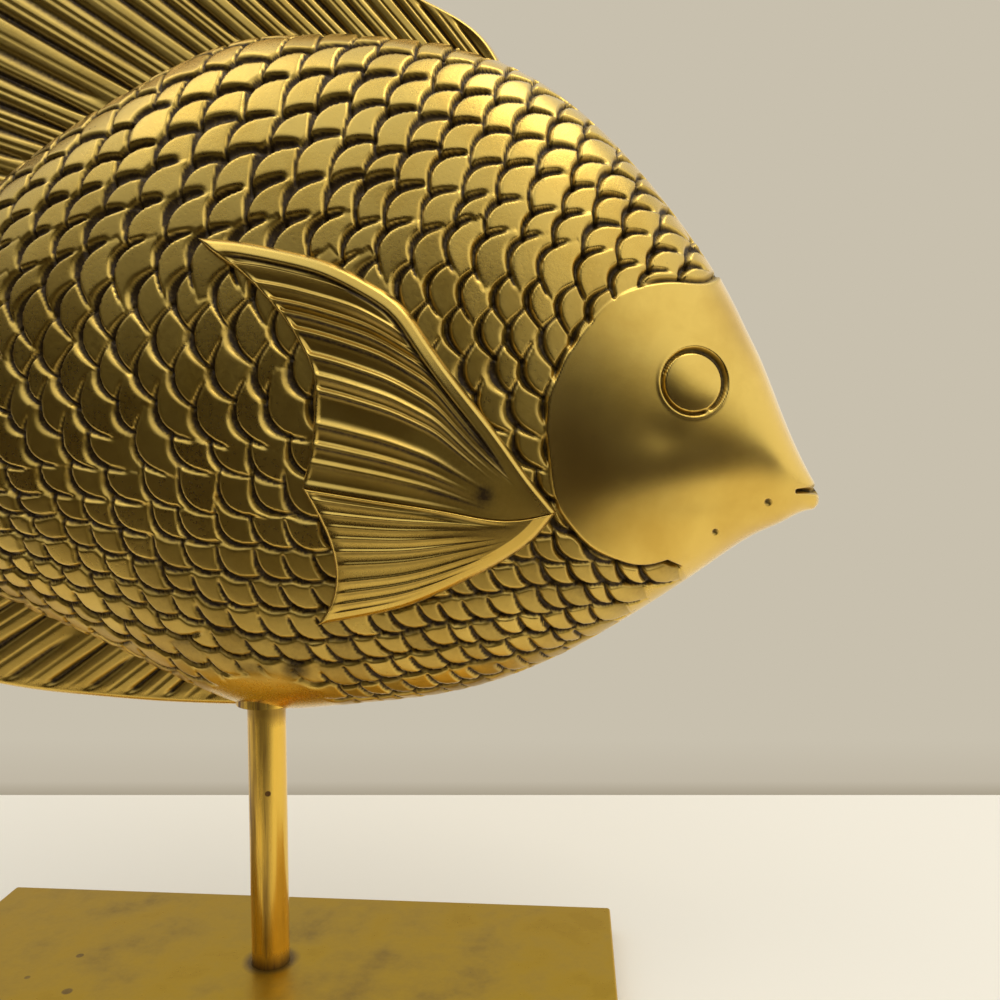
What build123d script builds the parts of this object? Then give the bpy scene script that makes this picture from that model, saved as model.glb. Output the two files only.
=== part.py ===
from build123d import *
import os

# A brass fish figurine: two hollow half castings brazed along the outline, on a
# round bar that is screwed to a flat base plate. Lengths are in millimetres.
# The origin is under the post, on the surface that the felt rests on. +X points
# to the fish's head, +Y to its left flank and +Z up.

# Overall sizes of the fish
fish_length = 310.0
fish_height = 207.5
mouth_reach = 135.0  # lips, ahead of the post's axis
half_thickness = 27.8  # seam to the fullest point of a flank
wall = 3.2  # thickness of the casting

# Post, base plate and felt
post_diameter = 9.5
post_exposed = 67.0  # plate to belly
plate_length = 176.0
plate_depth = 67.0
plate_thickness = 5.0
plate_corner_radius = 0.9
plate_edge_radius = 0.5
felt_thickness = 1.5
felt_inset = 2.5
felt_corner_radius = 3.0

# Seats and fasteners
seat_depth = 0.5  # flat filed on the belly for the bar's cut end
foot_recess_depth = 1.0  # spot face in the plate for the bar's foot
fit_clearance = 0.1  # radial, thread and spot face
bar_chamfer = 0.3
socket_diameter = 15.0
socket_length = 15.0
boss_diameter = 24.0  # solid metal left round the socket
boss_height = 19.0
stud_diameter = 6.0
stud_grip = 9.0  # length in the bar, and again in the socket
stud_chamfer = 0.6
tapping_spare = 1.5  # drilled depth beyond a fastener's end
screw_diameter = 5.0
screw_head_diameter = 9.4
screw_grip = 11.0  # length inside the bar
screw_head_drop = 0.2  # head below the plate's underside
screw_key_size = 3.0  # across the corners of the socket
screw_key_depth = 1.6

# Fins
fin_base_half = 4.6
fin_rim_half = 2.7
fin_rim_bevel = 1.0
dorsal_base_share = 0.730  # height of each upright fin's base above the belly
anal_base_share = 0.100
tail_base_share = 0.800  # distance of the tail's base behind the lips
tail_base_half = 5.4
tail_rim_half = 2.4
ray_groove_depth = 0.9
ray_base_width = 0.7
ray_rim_width = 1.3
ray_length = 60.0  # over which a groove widens from its base width to its rim width
ray_margin = 2.2  # smooth band left along a fin's rim
dorsal_ray_count = 22
anal_ray_count = 10
tail_ray_count = 14

# Relief on the flanks
pectoral_rise = 2.2
pectoral_groove_depth = 0.8
pectoral_groove_width = 0.9
pectoral_upper_ray_count = 7
pectoral_lower_ray_count = 5
gill_groove_width = 1.1
gill_groove_depth = 0.8
eye_ring_radius = 7.3
eye_groove_width = 1.3
scale_row_count = 16
scale_row_depth = 1.1
scale_row_width = 1.5
overrun = 5.0  # every cut runs this far past the metal

# Heights worked out from the stack
plate_top = felt_thickness + plate_thickness
belly_height = plate_top + post_exposed
seat_height = belly_height + seat_depth
crest_height = belly_height + fish_height

# Cross-sections of the body from the lips to the root of the tail: distance
# behind the lips as a share of the length, top and bottom as shares of the
# height above the belly, and half thickness as a share of the fullest one
body_section_shares = [
    (0.000, 0.261, 0.241, 0.083),
    (0.012, 0.292, 0.238, 0.190),
    (0.028, 0.342, 0.226, 0.320),
    (0.048, 0.415, 0.212, 0.440),
    (0.080, 0.504, 0.180, 0.575),
    (0.120, 0.588, 0.138, 0.695),
    (0.165, 0.664, 0.095, 0.805),
    (0.220, 0.728, 0.052, 0.903),
    (0.285, 0.766, 0.021, 0.971),
    (0.365, 0.781, 0.004, 1.000),
    (0.450, 0.774, 0.001, 0.990),
    (0.530, 0.725, 0.051, 0.935),
    (0.600, 0.663, 0.096, 0.842),
    (0.665, 0.593, 0.137, 0.698),
    (0.720, 0.525, 0.171, 0.547),
    (0.770, 0.470, 0.200, 0.406),
    (0.815, 0.434, 0.219, 0.288),
    (0.855, 0.414, 0.229, 0.200),
]
cavity_sections = slice(4, 15)  # the sections that are thick enough to be hollow

# Outlines on the seam plane, in the same shares of length and height, each
# counter-clockwise as seen from the right flank
dorsal_outline_shares = [
    (0.240, 0.735), (0.255, 0.770), (0.302, 0.817), (0.365, 0.871), (0.435, 0.923),
    (0.506, 0.963), (0.577, 0.991), (0.635, 1.000), (0.694, 0.992), (0.752, 0.966),
    (0.798, 0.932), (0.811, 0.912), (0.808, 0.880), (0.788, 0.820), (0.765, 0.745),
    (0.750, 0.650), (0.740, 0.540),
]
dorsal_root_shares = [(0.740, 0.540), (0.700, 0.480), (0.500, 0.650), (0.300, 0.680), (0.240, 0.735)]
anal_outline_shares = [
    (0.738, 0.205), (0.748, 0.165), (0.768, 0.132), (0.790, 0.105), (0.796, 0.085),
    (0.782, 0.070), (0.732, 0.045), (0.677, 0.025), (0.617, 0.011), (0.574, 0.006),
    (0.532, 0.002), (0.490, 0.000), (0.435, 0.001), (0.371, 0.012),
]
anal_root_shares = [(0.371, 0.012), (0.500, 0.110), (0.660, 0.220), (0.738, 0.205)]
tail_outline_shares = [
    (0.790, 0.400), (0.839, 0.419), (0.887, 0.462), (0.938, 0.530), (0.978, 0.586),
    (0.993, 0.592), (1.000, 0.574), (0.998, 0.480), (0.982, 0.330), (0.995, 0.180),
    (0.998, 0.085), (0.990, 0.066), (0.974, 0.072), (0.935, 0.122), (0.887, 0.180),
    (0.839, 0.223), (0.790, 0.242),
]
tail_root_shares = [(0.790, 0.242), (0.790, 0.400)]

# Where the grooves of each fin start, evenly along a line, and the angles in
# degrees that they leave at, counted from the head's direction
dorsal_ray_shares = [
    (0.270, 0.730), (0.350, 0.750), (0.430, 0.745), (0.510, 0.710), (0.590, 0.645),
    (0.670, 0.560), (0.735, 0.490),
]
dorsal_ray_angles = [128, 134, 141, 150, 162, 168, 173]
anal_ray_shares = [
    (0.465, 0.050), (0.520, 0.075), (0.575, 0.105), (0.630, 0.140), (0.685, 0.175), (0.735, 0.210),
]
anal_ray_angles = [224, 216, 214, 210, 204, 198]
tail_ray_shares = [(0.800, 0.262), (0.800, 0.382)]
tail_ray_angles = [213, 147]

# Relief outlines on the flank
pectoral_leading_shares = [
    (0.452, 0.532), (0.390, 0.517), (0.329, 0.482), (0.290, 0.427), (0.271, 0.386),
    (0.239, 0.323), (0.218, 0.279), (0.200, 0.245),
]
pectoral_lower_edge_shares = [
    (0.200, 0.245), (0.240, 0.189), (0.274, 0.162), (0.309, 0.139), (0.376, 0.117),
]
pectoral_lower_tip_shares = [
    (0.376, 0.117), (0.364, 0.141), (0.358, 0.185), (0.367, 0.234), (0.380, 0.270),
]
pectoral_upper_tip_shares = [
    (0.380, 0.270), (0.371, 0.318), (0.370, 0.391), (0.389, 0.445), (0.423, 0.497), (0.452, 0.532),
]
gill_shares = [
    (0.091, 0.492), (0.131, 0.487), (0.165, 0.463), (0.190, 0.419), (0.205, 0.369),
    (0.208, 0.334), (0.204, 0.293), (0.198, 0.244), (0.175, 0.203), (0.142, 0.182), (0.122, 0.188),
]
# first and last groove of each lobe, from its root over its middle to its end
pectoral_upper_ray_shares = [
    [(0.222, 0.272), (0.299, 0.398), (0.460, 0.520)],
    [(0.222, 0.255), (0.300, 0.268), (0.400, 0.285)],
]
pectoral_lower_ray_shares = [
    [(0.222, 0.242), (0.300, 0.246), (0.400, 0.250)],
    [(0.234, 0.208), (0.300, 0.162), (0.400, 0.125)],
]
eye_shares = (0.103, 0.382)
# the rows of scales spread towards the head from one point, and stay inside an outline
scale_fan_shares = (1.130, 0.510)
scale_row_angles = [-27, 12]
scale_field_shares = [
    (0.120, 0.125), (0.170, 0.085), (0.230, 0.050), (0.300, 0.032), (0.370, 0.060), (0.480, 0.060),
    (0.560, 0.110), (0.640, 0.165), (0.720, 0.225), (0.800, 0.270), (0.800, 0.375), (0.740, 0.455),
    (0.660, 0.560), (0.560, 0.655), (0.460, 0.715), (0.360, 0.730), (0.280, 0.715), (0.215, 0.675),
    (0.160, 0.605), (0.120, 0.530), (0.135, 0.505), (0.171, 0.477), (0.200, 0.425), (0.215, 0.371),
    (0.218, 0.334), (0.214, 0.291), (0.208, 0.241), (0.182, 0.193), (0.146, 0.170),
]
mouth_slit_shares = [(0.018, 0.260), (-0.010, 0.264), (-0.010, 0.253)]


def place(x_share, z_share):
    # a point of the fish on the seam plane, as X and Z
    return (mouth_reach - fish_length * x_share, belly_height + fish_height * z_share)


def places(shares):
    return [place(x_share, z_share) for x_share, z_share in shares]


def flank_form(grow, sections):
    # the right half of the lofted body, grown outwards by one distance, or shrunk
    # by a negative one
    with BuildPart() as form:
        for x_share, top_share, bottom_share, thickness_share in sections:
            x, top = place(x_share, top_share)
            bottom = place(x_share, bottom_share)[1]
            with BuildSketch(Plane.YZ.offset(x)):
                with Locations((0, (top + bottom) / 2)):
                    Ellipse(half_thickness * thickness_share + grow, (top - bottom) / 2 + grow)
        loft()
        split(bisect_by=Plane.XZ, keep=Keep.TOP)
    return form.part


def taper(rim, base, far, rim_half, base_half):
    # half thickness of a fin at two stations, past its rim and past its base
    slope = (base_half - rim_half) / (base - rim)
    near = rim + overrun if rim > base else rim - overrun
    return [(near, rim_half + slope * (near - rim)), (far, rim_half + slope * (far - rim))]


def spot_along(values, share):
    # the value at a share of the way along an evenly spaced list
    spot = share * (len(values) - 1)
    k = min(int(spot), len(values) - 2)
    return values[k] + (values[k + 1] - values[k]) * (spot - k)


def ray_fan(count, start_shares, angles):
    # grooves that start evenly along a line and turn from one angle to the next
    starts = [Vector(*start) for start in places(start_shares)]
    corners = []
    for k in range(count):
        share = k / (count - 1)
        start = spot_along(starts, share)
        out = Vector(1, 0).rotate(Axis.Z, spot_along(angles, share))
        side = out.rotate(Axis.Z, 90)
        end = start + out * fish_height
        spread = (ray_rim_width - ray_base_width) * fish_height / ray_length
        inner = side * (ray_base_width / 2)
        outer = side * ((ray_base_width + spread) / 2)
        corners.append([start - inner, start + inner, end + outer, end - outer])
    return corners


def inset(points, margin):
    # an outline that runs counter-clockwise, moved inwards
    spots = [Vector(*point) for point in points]
    moved = []
    for k, spot in enumerate(spots):
        along = spots[min(k + 1, len(spots) - 1)] - spots[max(k - 1, 0)]
        moved.append(spot + along.normalized().rotate(Axis.Z, 90) * margin)
    return moved


def envelope_corners(plane, stations, depth):
    # a fin's taper less one depth, drawn from the end for the upright fins and from
    # above for the tail
    (near, near_half), (far, far_half) = stations
    near_half, far_half = near_half - depth, far_half - depth
    if plane == Plane.XY:
        return [(near, -near_half), (near, near_half), (far, far_half), (far, -far_half)]
    return [(-near_half, near), (near_half, near), (far_half, far), (-far_half, far)]


def fin_form(outline_shares, root_shares, rays, plane, stations):
    # the right half of a fin: a plate from the seam outwards, thinned from root to
    # rim, with a bevelled rim and a fan of grooves that stop short of it
    with BuildPart() as fin:
        with BuildSketch(Plane.XZ):
            with BuildLine():
                Spline(*places(outline_shares))
                Polyline(*places(root_shares))
            make_face()
        extrude(amount=half_thickness)
        with BuildSketch(plane):
            with BuildLine():
                Polyline(*envelope_corners(plane, stations, 0), close=True)
            make_face()
        extrude(amount=fish_length, both=True, mode=Mode.INTERSECT)
        rims = fin.edges().filter_by(GeomType.BSPLINE).sort_by(Axis.Y)[:1]
        chamfer(rims, length=fin_rim_bevel)
    with BuildPart() as grooves:
        with BuildSketch(Plane.XZ):
            for corners in rays:
                with BuildLine():
                    Polyline(*corners, close=True)
                make_face()
        extrude(amount=half_thickness)
        with BuildSketch(Plane.XZ):
            with BuildLine():
                rim = Spline(*inset(places(outline_shares), ray_margin))
                Polyline(rim @ 1, *places(root_shares)[1:-1], rim @ 0)
            make_face()
        extrude(amount=half_thickness, mode=Mode.INTERSECT)
        with BuildSketch(plane):
            with BuildLine():
                Polyline(*envelope_corners(plane, stations, ray_groove_depth), close=True)
            make_face()
        extrude(amount=fish_length, both=True, mode=Mode.SUBTRACT)
    return fin.part - grooves.part


def lobe_rays(first_and_last_shares, count):
    # grooves of one lobe of the pectoral fin, each an arc between the first and the last
    first, last = [[Vector(*spot) for spot in places(shares)] for shares in first_and_last_shares]
    arcs = []
    for k in range(count):
        share = k / (count - 1)
        arcs.append([a + (b - a) * share for a, b in zip(first, last)])
    return arcs


def scale_rows():
    # straight rows in the side view, from the tail's side of the field to the head
    fan = Vector(*place(*scale_fan_shares))
    rows = []
    for k in range(scale_row_count):
        out = Vector(1, 0).rotate(Axis.Z, spot_along(scale_row_angles, k / (scale_row_count - 1)))
        side = out.rotate(Axis.Z, 90) * (scale_row_width / 2)
        near, far = fan + out * (fish_height / 4), fan + out * (2 * fish_height)
        rows.append([near - side, far - side, far + side, near + side])
    return rows


# The right half of the fish before it is hollowed
dorsal_taper = taper(crest_height, belly_height + dorsal_base_share * fish_height,
                     belly_height, fin_rim_half, fin_base_half)
anal_taper = taper(belly_height, belly_height + anal_base_share * fish_height,
                   crest_height, fin_rim_half, fin_base_half)
tail_taper = taper(mouth_reach - fish_length, mouth_reach - fish_length * tail_base_share,
                   mouth_reach, tail_rim_half, tail_base_half)
body = flank_form(0, body_section_shares)
dorsal_rays = ray_fan(dorsal_ray_count, dorsal_ray_shares, dorsal_ray_angles)
anal_rays = ray_fan(anal_ray_count, anal_ray_shares, anal_ray_angles)
tail_rays = ray_fan(tail_ray_count, tail_ray_shares, tail_ray_angles)
dorsal_fin = fin_form(dorsal_outline_shares, dorsal_root_shares, dorsal_rays, Plane.YZ, dorsal_taper)
anal_fin = fin_form(anal_outline_shares, anal_root_shares, anal_rays, Plane.YZ, anal_taper)
tail_fin = fin_form(tail_outline_shares, tail_root_shares, tail_rays, Plane.XY, tail_taper)

# Grooves between the rows of scales, which follow the flank
with BuildPart() as scale_grooves:
    with BuildSketch(Plane.XZ):
        for corners in scale_rows():
            with BuildLine():
                Polyline(*corners, close=True)
            make_face()
    extrude(amount=half_thickness + overrun)
    with BuildSketch(Plane.XZ):
        with BuildLine():
            Polyline(*places(scale_field_shares), close=True)
        make_face()
    extrude(amount=half_thickness + overrun, mode=Mode.INTERSECT)
    add(flank_form(-scale_row_depth, body_section_shares[1:-1]), mode=Mode.SUBTRACT)

# The raised pectoral fin, cut from a slightly larger body so that it follows the flank
with BuildPart() as pectoral_grooves:
    with BuildSketch(Plane.XZ):
        for arc in (
            lobe_rays(pectoral_upper_ray_shares, pectoral_upper_ray_count)
            + lobe_rays(pectoral_lower_ray_shares, pectoral_lower_ray_count)
        ):
            with BuildLine():
                ThreePointArc(*arc)
            trace(line_width=pectoral_groove_width)
    extrude(amount=half_thickness + pectoral_rise + overrun)
    add(flank_form(pectoral_rise - pectoral_groove_depth, body_section_shares), mode=Mode.SUBTRACT)

with BuildPart() as pectoral_fin:
    with BuildSketch(Plane.XZ):
        with BuildLine():
            Spline(*places(pectoral_leading_shares))
            Spline(*places(pectoral_lower_edge_shares))
            Spline(*places(pectoral_lower_tip_shares))
            Spline(*places(pectoral_upper_tip_shares))
        make_face()
    extrude(amount=half_thickness + pectoral_rise + overrun)
    add(flank_form(pectoral_rise, body_section_shares), mode=Mode.INTERSECT)
    add(pectoral_grooves.part, mode=Mode.SUBTRACT)

# Grooves chased into the head: the edge of the gill cover and the ring of the eye
with BuildPart() as head_grooves:
    with BuildSketch(Plane.XZ):
        with BuildLine():
            Spline(*places(gill_shares))
        trace(line_width=gill_groove_width)
        with Locations(place(*eye_shares)):
            Circle(eye_ring_radius + eye_groove_width / 2)
            Circle(eye_ring_radius - eye_groove_width / 2, mode=Mode.SUBTRACT)
    extrude(amount=half_thickness + overrun)
    add(flank_form(-gill_groove_depth, body_section_shares[1:-1]), mode=Mode.SUBTRACT)

# The hollow, with solid metal left round the socket in the belly
with BuildPart() as hollow:
    add(flank_form(-wall, body_section_shares[cavity_sections]))
    with BuildSketch(Plane.XY.offset(belly_height)):
        Circle(boss_diameter / 2)
    extrude(amount=boss_height, mode=Mode.SUBTRACT)

with BuildPart() as right_flank_shell:
    add(body)
    add(scale_grooves.part, mode=Mode.SUBTRACT)
    add([dorsal_fin, anal_fin, tail_fin, pectoral_fin.part])
    add([head_grooves.part, hollow.part], mode=Mode.SUBTRACT)
    with BuildSketch(Plane.XZ):
        with BuildLine():
            Polyline(*places(mouth_slit_shares), close=True)
        make_face()
    extrude(amount=half_thickness, mode=Mode.SUBTRACT)
    # the flat for the bar's end, and the hole for the socket
    with BuildSketch(Plane.XY.offset(seat_height)):
        Circle(socket_diameter / 2)
    extrude(amount=-overrun, mode=Mode.SUBTRACT)
    with BuildSketch(Plane.XY.offset(seat_height)):
        Circle(socket_diameter / 2)
    extrude(amount=socket_length, mode=Mode.SUBTRACT)

with BuildPart() as left_flank_shell:
    mirror(right_flank_shell.part, about=Plane.XZ)

with BuildPart() as belly_socket:
    with BuildSketch(Plane.XY.offset(seat_height)):
        Circle(socket_diameter / 2)
        Circle(stud_diameter / 2 + fit_clearance, mode=Mode.SUBTRACT)
    extrude(amount=socket_length)

with BuildPart() as post_stud:
    with BuildSketch(Plane.XY.offset(seat_height - stud_grip)):
        Circle(stud_diameter / 2)
    extrude(amount=2 * stud_grip)
    chamfer(post_stud.edges().filter_by(GeomType.CIRCLE), length=stud_chamfer)

foot_height = plate_top - foot_recess_depth
with BuildPart() as post:
    with BuildSketch(Plane.XY.offset(foot_height)):
        Circle(post_diameter / 2)
    extrude(amount=seat_height - foot_height)
    chamfer(post.edges().filter_by(GeomType.CIRCLE), length=bar_chamfer)
    with BuildSketch(Plane.XY.offset(seat_height)):
        Circle(stud_diameter / 2 + fit_clearance)
    extrude(amount=-(stud_grip + tapping_spare), mode=Mode.SUBTRACT)
    with BuildSketch(Plane.XY.offset(foot_height)):
        Circle(screw_diameter / 2 + fit_clearance)
    extrude(amount=screw_grip + tapping_spare, mode=Mode.SUBTRACT)

with BuildPart() as base_plate:
    with BuildSketch(Plane.XY.offset(felt_thickness)):
        RectangleRounded(plate_length, plate_depth, plate_corner_radius)
    extrude(amount=plate_thickness)
    fillet(base_plate.faces().sort_by(Axis.Z)[-1].edges(), radius=plate_edge_radius)
    with BuildSketch(Plane.XY.offset(plate_top)):
        Circle(post_diameter / 2 + fit_clearance)
    extrude(amount=-foot_recess_depth, mode=Mode.SUBTRACT)
    with Locations(Location((0, 0, felt_thickness), (180, 0, 0))):
        CounterSinkHole(
            radius=screw_diameter / 2 + fit_clearance,
            counter_sink_radius=screw_head_diameter / 2 + screw_head_drop + fit_clearance,
            depth=plate_thickness,
        )

# The screw's head is a cone of 90 degrees, so its height is the step in radius
screw_head_bottom = felt_thickness + screw_head_drop
screw_head_height = (screw_head_diameter - screw_diameter) / 2
with BuildPart() as base_screw:
    with BuildSketch(Plane.XZ):
        with BuildLine():
            Polyline(
                (0, screw_head_bottom),
                (screw_head_diameter / 2, screw_head_bottom),
                (screw_diameter / 2, screw_head_bottom + screw_head_height),
                (screw_diameter / 2, foot_height + screw_grip),
                (0, foot_height + screw_grip),
                close=True,
            )
        make_face()
    revolve(axis=Axis.Z)
    with BuildSketch(Plane.XY.offset(screw_head_bottom)):
        RegularPolygon(screw_key_size / 2, side_count=6)
    extrude(amount=screw_key_depth, mode=Mode.SUBTRACT)

with BuildPart() as felt_pad:
    with BuildSketch(Plane.XY):
        RectangleRounded(plate_length - 2 * felt_inset, plate_depth - 2 * felt_inset, felt_corner_radius)
    extrude(amount=felt_thickness)

right_flank_shell.part.label = "right_flank_shell"
left_flank_shell.part.label = "left_flank_shell"
belly_socket.part.label = "belly_socket"
post_stud.part.label = "post_stud"
post.part.label = "post"
base_plate.part.label = "base_plate"
base_screw.part.label = "base_screw"
felt_pad.part.label = "felt_pad"

os.makedirs("parts", exist_ok=True)
export_step(right_flank_shell.part, "parts/right_flank_shell.step")
export_step(left_flank_shell.part, "parts/left_flank_shell.step")
export_step(belly_socket.part, "parts/belly_socket.step")
export_step(post_stud.part, "parts/post_stud.step")
export_step(post.part, "parts/post.step")
export_step(base_plate.part, "parts/base_plate.step")
export_step(base_screw.part, "parts/base_screw.step")
export_step(felt_pad.part, "parts/felt_pad.step")
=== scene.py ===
import math

import bpy
import numpy as np
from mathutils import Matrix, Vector


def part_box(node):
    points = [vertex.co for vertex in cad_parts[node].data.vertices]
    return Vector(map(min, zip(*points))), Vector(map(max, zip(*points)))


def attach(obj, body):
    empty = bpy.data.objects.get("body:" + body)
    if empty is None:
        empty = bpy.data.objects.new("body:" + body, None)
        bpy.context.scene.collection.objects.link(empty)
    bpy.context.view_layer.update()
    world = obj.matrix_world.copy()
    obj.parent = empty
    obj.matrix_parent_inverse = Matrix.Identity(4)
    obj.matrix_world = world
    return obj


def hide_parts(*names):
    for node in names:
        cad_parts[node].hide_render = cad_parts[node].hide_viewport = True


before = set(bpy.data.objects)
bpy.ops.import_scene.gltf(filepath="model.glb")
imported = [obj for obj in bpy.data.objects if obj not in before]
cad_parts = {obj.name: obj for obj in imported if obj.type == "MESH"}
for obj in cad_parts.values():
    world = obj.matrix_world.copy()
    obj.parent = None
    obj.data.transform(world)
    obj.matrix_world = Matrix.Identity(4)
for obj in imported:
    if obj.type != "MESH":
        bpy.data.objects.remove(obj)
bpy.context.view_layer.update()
mm = 0.001  # the fish is worked out in millimetres and written in metres
flankLow, flankHigh = [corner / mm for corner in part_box("right_flank_shell")]

# A brass fish on a round bar. Stations run from the lips to the root of the tail: distance behind
# the lips, top and bottom of the section above the belly, and half thickness, all as shares.
fish = {
    "length": 310.0,
    "height": 207.5,
    "fullHalf": 27.8,
    "lipRounding": 1.8,
    "lipBlunt": 0.0025,  # the square of the share that the section keeps at the very front
    "headStep": 0.31,
    "flankStep": 0.43,
    "rearStep": 0.6,
    "girthSteps": 400,
    "headEnd": 70.0,
    "sightEnd": -52.0,
    "rootEnd": -128.0,
}
bodySectionShares = [
    (0.000, 0.261, 0.241, 0.083), (0.012, 0.292, 0.238, 0.190), (0.028, 0.342, 0.226, 0.320),
    (0.048, 0.415, 0.212, 0.440), (0.080, 0.504, 0.180, 0.575), (0.120, 0.588, 0.138, 0.695),
    (0.165, 0.664, 0.095, 0.805), (0.220, 0.728, 0.052, 0.903), (0.285, 0.766, 0.021, 0.971),
    (0.365, 0.781, 0.004, 1.000), (0.450, 0.774, 0.001, 0.990), (0.530, 0.725, 0.051, 0.935),
    (0.600, 0.663, 0.096, 0.842), (0.665, 0.593, 0.137, 0.698), (0.720, 0.525, 0.171, 0.547),
    (0.770, 0.470, 0.200, 0.406), (0.815, 0.434, 0.219, 0.288), (0.855, 0.414, 0.229, 0.200),
]
lipsX = flankHigh.x
crestZ = flankHigh.z
bellyZ = crestZ - fish["height"]


def place(shares):
    # points of the side view in millimetres, from shares of length and height
    shares = np.asarray(shares, float)
    return np.stack([lipsX - fish["length"] * shares[..., 0], bellyZ + fish["height"] * shares[..., 1]], -1)


def naturalSpline(knots, values, at):
    # a cubic through the knots whose ends run straight
    knots, values = np.asarray(knots, float), np.asarray(values, float)
    gap = np.diff(knots)
    size = len(knots)
    left = np.eye(size)
    right = np.zeros((size,) + values.shape[1:])
    slope = (np.diff(values, axis=0).T / gap).T
    for k in range(1, size - 1):
        left[k, k - 1:k + 2] = gap[k - 1], 2 * (gap[k - 1] + gap[k]), gap[k]
        right[k] = 6 * (slope[k] - slope[k - 1])
    bend = np.linalg.solve(left, right)
    k = np.clip(np.searchsorted(knots, at) - 1, 0, size - 2)
    step = (at - knots[k])
    width = gap[k]
    if values.ndim > 1:
        step, width = step[..., None], width[..., None]
    rise = slope[k] - width * (2 * bend[k] + bend[k + 1]) / 6
    cubic = (bend[k + 1] - bend[k]) / (6 * width)
    return values[k] + rise * step + bend[k] * step ** 2 / 2 + cubic * step ** 3


def runAlong(points):
    # how far along a line each of its points is
    return np.concatenate([[0], np.cumsum(np.linalg.norm(np.diff(points, axis=0), axis=1))])


def pickAt(spots, knots, points):
    # the points of a line at some places along it
    return np.stack([np.interp(spots, knots, points[:, k]) for k in range(points.shape[1])], -1)


def evenly(points, count):
    run = runAlong(points)
    return pickAt(np.linspace(0, run[-1], count), run, points)


def throughPoints(points, count):
    # an even run of points on a smooth curve through a few
    points = np.asarray(points, float)
    knots = runAlong(points)
    dense = naturalSpline(knots, points, np.linspace(0, knots[-1], 40 * len(points)))
    return evenly(dense, count)


def ease(value, low, high):
    share = np.clip((value - low) / (high - low), 0, 1)
    return share * share * (3 - 2 * share)


def roundedEdge(distance, radius):
    # the rise of a quarter round, from 0 at the edge to 1 at the radius
    return np.sqrt(np.clip(1 - (1 - np.clip(distance / radius, 0, 1)) ** 2, 0, 1))


def distanceTo(line, spots):
    # distance from each spot to a polyline, and how far along it the nearest place is
    best = np.full(spots.shape[:-1], 1e9)
    along = np.zeros(spots.shape[:-1])
    run = 0.0
    for start, end in zip(line[:-1], line[1:]):
        span = end - start
        length = math.hypot(*span)
        share = np.clip(((spots - start) @ span) / max(length ** 2, 1e-12), 0, 1)
        gap = np.linalg.norm(spots - start - share[..., None] * span, axis=-1)
        nearer = gap < best
        best = np.where(nearer, gap, best)
        along = np.where(nearer, run + share * length, along)
        run += length
    return best, along


def insideOf(loop, spots):
    # which spots lie inside a closed outline
    inside = np.zeros(spots.shape[:-1], bool)
    x, z = spots[..., 0], spots[..., 1]
    for (ax, az), (bx, bz) in zip(loop, np.roll(loop, -1, axis=0)):
        if az == bz:
            continue
        crosses = (az > z) != (bz > z)
        inside ^= crosses & (x < (bx - ax) * (z - az) / (bz - az) + ax)
    return inside


def bodyAt(x):
    # middle, half height and half thickness of the section at each distance along the fish
    stations = np.array(bodySectionShares)
    shares = naturalSpline(stations[:, 0], stations[:, 1:], (lipsX - x) / fish["length"])
    top = bellyZ + fish["height"] * shares[..., 0]
    bottom = bellyZ + fish["height"] * shares[..., 1]
    half = fish["fullHalf"] * shares[..., 2]
    past = np.clip((fish["lipRounding"] - (lipsX - x)) / fish["lipRounding"], 0, 1)
    rounding = np.sqrt(np.maximum(1 - past ** 2, fish["lipBlunt"]))
    middle = (top + bottom) / 2
    return middle, (top - bottom) / 2 * rounding, half * rounding


def flankDepth(spots):
    # how far the smooth flank stands out from the seam at a place in the side view
    middle, tall, half = bodyAt(spots[..., 0])
    return half * np.sqrt(np.maximum(1 - ((spots[..., 1] - middle) / tall) ** 2, 0))


def surfaceNormals(points):
    # normals of a grid of points, from its neighbours
    along = np.gradient(points, axis=0)
    across = np.gradient(points, axis=1)
    normal = np.cross(along, across)
    return normal / np.maximum(np.linalg.norm(normal, axis=-1, keepdims=True), 1e-12)


def facingNormals(points):
    # the normals of a grid, each turned to the right flank's side of the seam
    normals = surfaceNormals(points)
    return normals * np.where(normals[..., 1:2] > 0, -1, 1)


print("fish: sections and tools ready")

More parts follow.
